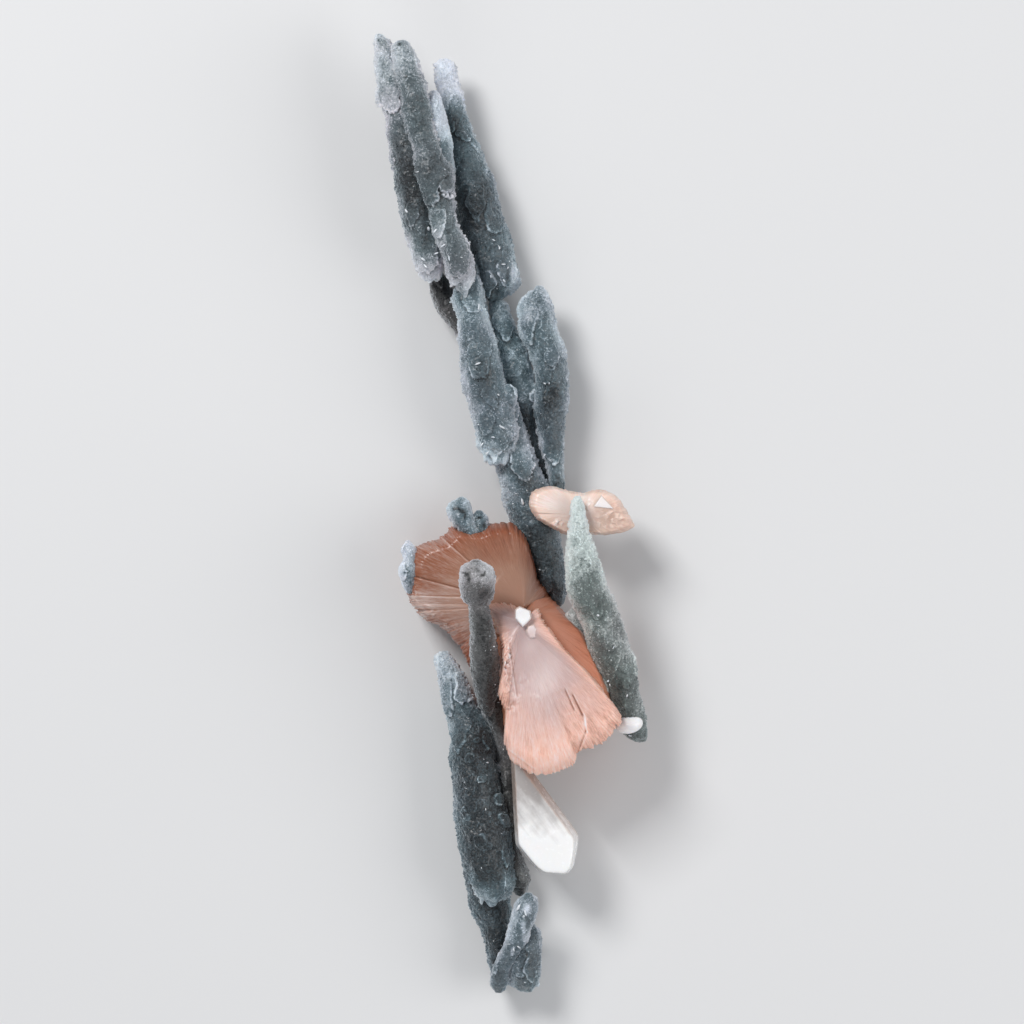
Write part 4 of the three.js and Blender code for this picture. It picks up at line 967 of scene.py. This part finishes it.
sheaf(
    "large_sheaf_lower", "large_sheaf", STRIP_PEACH, (3.9, -19.5), -68, 1, (11.5, 9.4), (5, 10),
    [(3.0, -15.4), (6.0, -14.8), (8.4, -17.0), (10.9, -19.9), (14.9, -23.7), (17.5, -29.1),
        (20.1, -35.5), (20.3, -40.3), (17.5, -44.7), (9.9, -49.5), (2.3, -49.9), (-0.9, -45.5),
        (-1.7, -38.3), (-2.7, -30.7), (-3.7, -23.5), (-0.9, -18.3)],
    102, columns=560, front_rings=50, droop=6.5)
sheaf(
    "large_sheaf_blade", "large_sheaf", FRONT_PINK, (2.0, -21.8), -68, 1, (19, 21), (3.4, 4.6),
    [(-5.3, -18.0), (-3.3, -21.9), (-1.9, -25.5), (-1.5, -29.9), (-2.4, -35.3), (-1.1, -38.9),
        (-1.2, -42.1), (-1.3, -45.7), (0.4, -48.9), (4.3, -51.5), (8.3, -51.2), (12.3, -49.7),
        (13.6, -46.7), (18.3, -45.9), (20.5, -43.5), (22.0, -40.2), (18.6, -35.1), (15.0, -30.9),
        (11.4, -27.2), (8.8, -23.6), (7.0, -21.2), (5.7, -18.2), (4.1, -19.6), (2.4, -18.4),
        (-0.9, -17.6)],
    103, plate_lift=0.12, tooth=0.45, droop=4.5,
    steps=((11.0, -34.8, 12.7, -38.6, 0.35), (12.5, -35.8, 14.4, -39.6, 0.4),
        (14.4, -39.6, 15.0, -43.0, 0.3), (15.0, -43.0, 13.8, -46.4, 0.4),
        (1.2, -35.8, -0.3, -26.0, 0.22), (-0.4, -46.6, 4.7, -50.4, 0.16)),
    rough=((-0.7, -29.5, 1.0, 4.4, 0.42), (0.0, -37.0, 1.6, 2.2, 0.45), (2.5, -33.0, 1.6, 1.6, 0.1),
        (5.0, -36.0, 1.2, 1.0, 0.12)),
    clouds=((7.6, -30.8, 3.0, 4.4, 0.14), (6.0, -34.0, 3.4, 3.4, 0.12), (3.6, -26.0, 1.6, 2.2, 0.10),
        (0.2, -31.0, 0.9, 3.6, -0.12), (1.0, -24.6, 2.4, 2.0, -0.08), (-0.4, -37.4, 1.3, 1.3, -0.12),
        (14.7, -41.2, 0.4, 1.5, 0.5), (-3.0, -19.6, 1.6, 1.2, -0.10)))

# The small sheaf: a bow tie seen from its side, a flat cap of pale peach plates behind the tip of the
# right stalactite.
SMALL_PEACH = plate_crystal(
    "Small peach crystal", (0.62, 0.50, 0.46), (0.74, 0.57, 0.49), (0.88, 0.64, 0.53),
    (0.52, 0.35, 0.28), (0.94, 0.86, 0.83), 0.8)
sheaf(
    "small_sheaf_plates", "small_sheaf", SMALL_PEACH, (13.9, -0.1), 0, 2, (12.8, 12.8), (4.4, 4),
    [(3.7, 1.9), (4.1, 4.3), (6.1, 5.4), (8.5, 5.6), (10.9, 4.9), (13.1, 4.5), (14.7, 4.1), (16.3, 4.8),
        (19.1, 4.7), (21.3, 3.5), (23.3, 0.5), (24.5, -2.3), (22.3, -3.5), (18.7, -4.1), (15.9, -3.9),
        (13.5, -4.5), (11.1, -4.1), (7.9, -2.5), (5.1, -0.7)],
    111, plates=12, plate_lift=0.08, rib=0.05, tooth=0.12, columns=520, front_rings=50,
    rough=((20.2, -1.0, 3.4, 2.2, 0.34), (8.6, -1.6, 2.6, 1.2, 0.28), (15.4, 1.4, 1.0, 1.6, 0.2)),
    clouds=((19.6, 0.4, 3.6, 3.2, -0.28), (7.5, 2.6, 4.0, 2.6, 0.34), (14.2, 3.4, 1.6, 1.2, 0.30),
        (15.8, 1.6, 0.9, 2.4, 0.20)))

# The white crystals: a long blade with a bevel down its right edge, a small six-sided plate with a rosy
# one beside it on the large sheaf, a three-sided facet on the small sheaf, and a ribbed oval grain on
# the right stalactite.
WHITE_BLADE_OUTLINE = [
    (-0.1, -47.5), (1.6, -47.5), (13.7, -63.9), (13.7, -65.9), (12.7, -70.7),
    (11.3, -72.1), (6.1, -71.7), (4.3, -70.3), (0.9, -66.1), (0.7, -64.1),
]
WHITE_BLADE_INSET = (0.6, 1.3, 1.2, 0.9, 0.7, 0.5, 0.7, 0.8, 0.8, 0.8)
EDGE_SOFTNESS = 46


def flat_sided(name, outline, insets, levels, stretch, seed, ribs=0.02, rings=120, columns=220):
    """A crystal bounded by planes. Each side of the outline gives one plane that leans in towards the
    front and one towards the back. Along every direction from the middle, the surface is where the
    soft maximum of (normal . direction / plane distance) is one, so its edges are just blunted."""
    corners = np.asarray(outline, float)
    following = np.roll(corners, -1, axis=0)
    if (corners[:, 0] * following[:, 1] - corners[:, 1] * following[:, 0]).sum() < 0:
        corners = corners[::-1]
        insets = tuple(insets[::-1][1:]) + (insets[-1],)
    back, edge, front = levels
    middle = np.array([corners[:, 0].mean(), corners[:, 1].mean(), (back + front) / 2])
    side = np.roll(corners, -1, axis=0) - corners
    facing = np.column_stack([side[:, 1], -side[:, 0]]) / np.linalg.norm(side, axis=1)[:, None]
    planes = [((0, 0, 1), front - middle[2]), ((0, 0, -1), middle[2] - back)]
    for (nx, ny), (x, y), inset in zip(facing, corners, insets):
        for rise, sign in ((front - edge, 1), (edge - back, -1)):
            normal = np.array([nx * rise, ny * rise, sign * inset])
            normal = normal / np.linalg.norm(normal)
            planes.append((tuple(normal), float(normal @ (np.array([x, y, edge]) - middle))))
    normals = np.array([normal for normal, _ in planes])
    distances = np.array([distance for _, distance in planes])
    v = np.linspace(0.02, np.pi - 0.02, rings)[:, None]
    u = np.linspace(0, 2 * np.pi, columns, endpoint=False)
    way = np.stack([stretch[0] * np.sin(v) * np.cos(u), stretch[1] * np.cos(v) * np.ones(columns),
                    stretch[2] * np.sin(v) * np.sin(u)], axis=-1)
    closeness = np.maximum(way @ normals.T / distances, 1e-6)
    reach = 1 / ((closeness ** EDGE_SOFTNESS).sum(axis=-1)) ** (1 / EDGE_SOFTNESS)
    bevel = (closeness.argmax(axis=-1) >= 2).astype(float)
    points = middle + way * reach[..., None]
    growth = soft_noise(points * np.array([6.0, 1.0, 6.0]), 1.6, seed) - 0.5
    worn = soft_noise(points, 1.1, seed + 1) - 0.5
    points = points + outward(points) * (ribs * growth + 2 * ribs * worn)[..., None]
    points[..., 2] = np.maximum(points[..., 2], RESTING_LEVEL)
    end = (points[..., 1] - points[..., 1].min()) / np.ptp(points[..., 1])
    return closed_mesh(name, points, {"end": end, "bevel": bevel})


def milky_group():
    """Node group of the white crystals: the colour runs from the lower to the upper end, broken by
    streaks along the blade and by soft clouds, and tan where the mesh marks a bevel."""
    tree, given, place = open_group("Milky clouds", ("Lower", "Upper", "Stain"))
    grain = add_node(tree, "ShaderNodeMapping", {"Vector": place, "Rotation": (0, 0, 0.636),
                                                 "Scale": (0.0012, 0.008, 0.004)}, vector_type="TEXTURE")
    streak = cloudy(tree, grain.outputs[0], 1.0, 3.0)
    both = calculate(tree, "ADD", cloudy(tree, place, 300.0, 5.0), streak)
    sway = calculate(tree, "MULTIPLY_ADD", both, 0.5, -0.5)
    run = calculate(tree, "ADD", point_value(tree, "end"), sway)
    colour = mix_colours(tree, rescale(tree, run, 0.32, 0.72), given["Lower"], given["Upper"])
    rising = rescale(tree, run, 0.2, 0.6, 0.05, 0.5)
    amount = calculate(tree, "MULTIPLY", point_value(tree, "bevel"), rising)
    stained = mix_colours(tree, amount, colour, given["Stain"])
    fine = cloudy(tree, place, 1100.0, 4.0)
    height = calculate(tree, "ADD", fine, streak)
    return close_group(tree, stained, rescale(tree, fine, 0.0, 1.0, 0.14, 0.36), height)


MILKY_CLOUDS = milky_group()


def white_crystal(name, low, high):
    """Milky crystal: the group's colours over light that wanders inside the crystal."""
    colours = {"Lower": (*low, 1), "Upper": (*high, 1), "Stain": (0.52, 0.36, 0.28, 1)}
    return patterned_material(name, MILKY_CLOUDS, colours, 0.2, 0.0001, {
        "Subsurface Weight": 0.5, "Subsurface Radius": (1.0, 0.9, 0.8), "Subsurface Scale": 0.0012,
        "Coat Weight": 0.4, "Coat Roughness": 0.12,
    })


MILKY = white_crystal("Milky crystal", (0.95, 0.95, 0.94), (0.42, 0.40, 0.39))
SNOWY = white_crystal("Snowy crystal", (0.93, 0.92, 0.93), (0.88, 0.86, 0.86))
white_blade = flat_sided("white_blade", WHITE_BLADE_OUTLINE, WHITE_BLADE_INSET, (6.5, 11.5, 15.5),
                         (6, 13, 4.5), 121)
PEARL_OUTLINE = [
    (1.74, -18.1), (4.06, -19.04), (4.16, -20.6), (3.24, -21.6), (2.4, -22.36), (0.9, -20.6),
    (0.84, -18.76),
]
pearl_plate = flat_sided(
    "pearly_plate", PEARL_OUTLINE, (0.22, 0.3, 0.2, 0.3, 0.25, 0.2, 0.3), (20.0, 23.4, 24.1), (2, 2, 2),
    122, ribs=0.012, rings=70, columns=120)
ROSY = white_crystal("Rosy crystal", (0.74, 0.60, 0.58), (0.80, 0.68, 0.67))
ROSY_OUTLINE = [(3.3, -21.9), (4.7, -21.6), (5.5, -22.6), (5.1, -24.6), (3.7, -24.7), (2.9, -23.1)]
rosy_plate = flat_sided("rosy_plate", ROSY_OUTLINE, (0.4,) * 6, (20.0, 22.6, 23.3), (1.2, 1.4, 1.4), 123,
                        ribs=0.02, rings=50, columns=90)
PALE_FACET_OUTLINE = [(18.1, 3.9), (20.6, 1.1), (16.5, 1.5)]
pale_facet = flat_sided(
    "pale_facet", PALE_FACET_OUTLINE, (0.14,) * 3, (15.4, 17.0, 17.3), (1.2, 1.2, 1.0), 124, ribs=0.01,
    rings=50, columns=90)
PALE_FACET = white_crystal("Pale facet crystal", (0.94, 0.86, 0.84), (0.92, 0.83, 0.80))


def ribbed_oval(name, centre, half, tilt, ribs, rings=70, columns=160):
    """An ellipsoid ribbed lengthwise by a shallow wave, turned about z by the tilt."""
    v = np.linspace(0.03, np.pi - 0.03, rings)[:, None]
    u = np.linspace(0, 2 * np.pi, columns, endpoint=False)
    wave = 1 + 0.014 * np.sin(ribs * u) * np.sin(v)
    long, wide = half[0] * np.cos(v) * np.ones(columns), half[1] * np.sin(v) * np.sin(u) * wave
    points = np.stack([long * math.cos(tilt) - wide * math.sin(tilt),
                       long * math.sin(tilt) + wide * math.cos(tilt),
                       half[2] * np.sin(v) * np.cos(u) * wave], axis=-1) + np.array(centre)
    even = np.ones(points.shape[:-1])
    return closed_mesh(name, points, {"end": 0.2 * even, "bevel": 0 * even})


oval_grain = ribbed_oval("oval_grain", (23.7, -41.9, 14.6), (2.75, 1.8, 2), 0.2, 34)
for part, node, slot, material in (
        (white_blade, "white_crystal", "white_crystal", MILKY),
        (pearl_plate, "small_white_crystal", "white_crystal", SNOWY),
        (rosy_plate, "small_white_crystal", "white_crystal", ROSY),
        (oval_grain, "white_oval_crystal", "white_crystal", SNOWY),
        (pale_facet, "small_sheaf", "peach_crystal", PALE_FACET)):
    part.data.materials.append(material)
    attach(part, "root")
    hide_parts(node)

# Loose quartz glints: small clear six-sided crystals that grew on the chalcedony, most of them on the
# lips of its drapes, drawn near white as painted glints. They are one mesh, because each is a
# millimetre long at most.
GLINT_COUNT = 1300
GLINT_LENGTH, GLINT_SPREAD = 0.07, 0.20
BRIGHT_GLINTS = (
    (-20.7, 60.5, 0.5), (-16.3, 56.9, 0.6), (-14.9, 56.3, 0.6), (-13.3, 53.5, 0.7), (-12.2, 51.0, 0.6),
    (-18.6, 46.9, 0.4), (-16.2, 46.4, 0.4), (-1.3, 46.6, 0.6), (-4.0, 47.6, 0.4), (-0.6, 49.2, 0.5),
    (-6.5, 30.1, 0.7), (-1.7, 17.4, 0.8), (-5.6, 14.1, 0.5), (-4.5, 12.4, 0.5), (-3.5, 15.5, 0.5),
    (-6.5, 18.0, 0.4), (2.5, 2.5, 0.8), (1.1, 4.2, 0.4), (5.9, -11.1, 0.5), (17.3, -19.9, 0.6),
    (19.3, -33.1, 0.5), (23.1, -36.1, 0.4), (15.5, -28.9, 0.9), (23.9, -44.3, 0.4), (20.4, -26.4, 0.5),
    (-4.5, -49.6, 0.4), (-8.9, -54.7, 0.4), (1.7, -78.4, 0.9), (2.7, -80.2, 0.6), (-0.3, -85.8, 0.5),
    (-17.3, 50.8, 0.6), (-15.6, 51.4, 0.5), (-14.6, 52.2, 0.5), (-17.0, 49.5, 0.6), (-18.6, 68.0, 0.4),
    (-10.9, 59.2, 0.4), (-10.7, 58.4, 0.4), (-3.4, 54.9, 0.4), (-2.3, 53.3, 0.4), (-1.4, 50.0, 0.6),
    (-6.4, 41.5, 0.7), (1.6, -86.4, 0.9), (3.0, -79.4, 0.8), (0.6, -87.0, 0.4), (6.8, 26.2, 0.3),
    (6.1, 15.0, 0.4), (6.8, 12.0, 0.4), (-2.4, 23.9, 0.4),
)


def quartz_glints(name, seats, count, bright, seed):
    """Six-sided crystals pointed at both ends, joined in one mesh. Each has two rings of six corners
    and two tips, is stretched by its own random lengths and turned by its own random frame, and sits
    on a seat drawn from the fingers' points, the lips' first."""
    random = np.random.default_rng(seed)
    points = np.concatenate([p.reshape(-1, 3) for p, _, _ in seats])
    normals = np.concatenate([n.reshape(-1, 3) for _, n, _ in seats])
    lips = np.concatenate([lip.ravel() for _, _, lip in seats])
    chance = (0.5 + lips) * (points[:, 2] > 1)
    seat = random.choice(len(points), count, replace=False, p=chance / chance.sum())
    long = GLINT_LENGTH + GLINT_SPREAD * random.uniform(0, 1, count) ** 3
    for x, y, size in bright:
        near = (points[:, 0] - x) ** 2 + (points[:, 1] - y) ** 2 - 0.2 * points[:, 2]
        seat = np.append(seat, near.argmin())
        long = np.append(long, size)
    total = len(seat)
    turn = np.arange(6) * np.pi / 3
    ring = np.stack([np.cos(turn), np.sin(turn), np.zeros(6)], axis=-1)
    up = np.array([0, 0, 1.0])
    shape = np.concatenate([ring + 0.7 * up, ring - 0.7 * up, [1.5 * up], [-1.5 * up]])
    wide = long * random.uniform(0.22, 0.45, total)
    lengths = np.stack([wide, wide * random.uniform(0.5, 1, total), long * 0.7], axis=-1)
    stretched = shape[None] * lengths[:, None]
    frames = np.linalg.qr(random.normal(size=(total, 3, 3)))[0]
    frames[:, :, 2] *= np.linalg.det(frames)[:, None]
    corners = np.einsum("nij,nkj->nki", frames, stretched)
    corners = corners + (points[seat] + 0.35 * long[:, None] * normals[seat])[:, None]
    corners = np.clip(corners, BOX_LOW + RESTING_LEVEL, BOX_HIGH)
    k = np.arange(6)
    after = (k + 1) % 6
    faces = np.stack([k + 6, after + 6, after, k], axis=-1).ravel()
    caps = np.concatenate([np.stack([k, after, np.full(6, 12)], axis=-1),
                           np.stack([after + 6, k + 6, np.full(6, 13)], axis=-1)]).ravel()
    own = np.concatenate([faces, caps])
    starts = np.concatenate([np.arange(6) * 4, 24 + np.arange(12) * 3])
    each = np.arange(total)[:, None]
    corner_row, start_row = own + len(shape) * each, starts + own.size * each
    piece = new_piece(name, corners.reshape(-1, 3), corner_row.ravel(), start_row.ravel())
    piece.data.validate()
    return piece


CLEAR_QUARTZ, quartz_tree, quartz_shader = new_material("Clear quartz")
quartz_place = add_node(quartz_tree, "ShaderNodeTexCoord").outputs["Object"]
# The near-white colour is painted glint, standing in for the sparkle of clear crystals.
quartz_cloud = rescale(quartz_tree, cloudy(quartz_tree, quartz_place, 900.0), 0.3, 0.7)
quartz_glint_white = mix_colours(quartz_tree, quartz_cloud, (0.62, 0.68, 0.74, 1), (0.93, 0.95, 0.97, 1))
quartz_tree.links.new(quartz_glint_white, quartz_shader.inputs["Base Color"])
quartz_shader.inputs["Roughness"].default_value = 0.12
glints = quartz_glints("quartz_glints", quartz_seats, GLINT_COUNT, BRIGHT_GLINTS, 131)
glints.data.materials.append(CLEAR_QUARTZ)
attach(glints, "root")
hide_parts("left_top_stalactites", "right_top_stalactite", "back_stub", "main_stem",
            "middle_finger", "side_stalactite", "right_stalactite", "knobbed_stalactite",
            "lower_left_stalactite", "lower_back_stalactite", "bottom_finger", "bottom_lump")

# The studio: a pale floor that the specimen lies on, soft light from large panels, and a long lens
# that looks straight down on it.
VIEW_CENTRE = (0.3, 0.5)
VIEW_WIDTH = 204.8
VIEW_LEVEL = 12
LENS = 200
SENSOR = 36
FLOOR_REACH = 2
floor_mesh = bpy.data.meshes.new("floor")
floor_corners = [(-FLOOR_REACH, -FLOOR_REACH, 0), (FLOOR_REACH, -FLOOR_REACH, 0),
                 (FLOOR_REACH, FLOOR_REACH, 0), (-FLOOR_REACH, FLOOR_REACH, 0)]
floor_mesh.from_pydata(floor_corners, [], [(0, 1, 2, 3)])
floor = add_object("floor", floor_mesh)
floor_finish, _, floor_shader = new_material("Pale floor")
floor_shader.inputs["Base Color"].default_value = (0.72, 0.72, 0.72, 1)
floor_shader.inputs["Roughness"].default_value = 0.8
floor_mesh.materials.append(floor_finish)


def soft_light(name, place, size, power):
    """A square panel of light aimed at the specimen's middle."""
    lamp = bpy.data.lights.new(name, "AREA")
    lamp.size = size
    lamp.energy = power
    panel = add_object(name, lamp)
    spot = np.array(place, float)
    panel.location = spot
    aim = -spot / np.linalg.norm(spot)
    panel.rotation_euler = (math.acos(-aim[2]), 0, math.atan2(aim[1], aim[0]) - math.pi / 2)


soft_light("key", (-0.45, 0.55, 0.75), 0.35, 7.5)
soft_light("fill", (0.7, -0.1, 0.5), 0.6, 3.4)
soft_light("low", (-0.2, -0.8, 0.45), 0.5, 1.6)
world = bpy.data.worlds.new("studio")
world.use_nodes = True
world.node_tree.nodes["Background"].inputs["Color"].default_value = (0.9, 0.93, 1.0, 1)
world.node_tree.nodes["Background"].inputs["Strength"].default_value = 0.28
bpy.context.scene.world = world
bpy.context.scene.view_settings.view_transform = "Standard"

camera_data = bpy.data.cameras.new("camera")
camera_data.lens = LENS
camera_data.sensor_width = SENSOR
camera_data.clip_end = 10
camera = add_object("camera", camera_data)
camera.location = (VIEW_CENTRE[0] * MM, VIEW_CENTRE[1] * MM,
                   (VIEW_LEVEL + VIEW_WIDTH * LENS / SENSOR) * MM)
bpy.context.scene.camera = camera
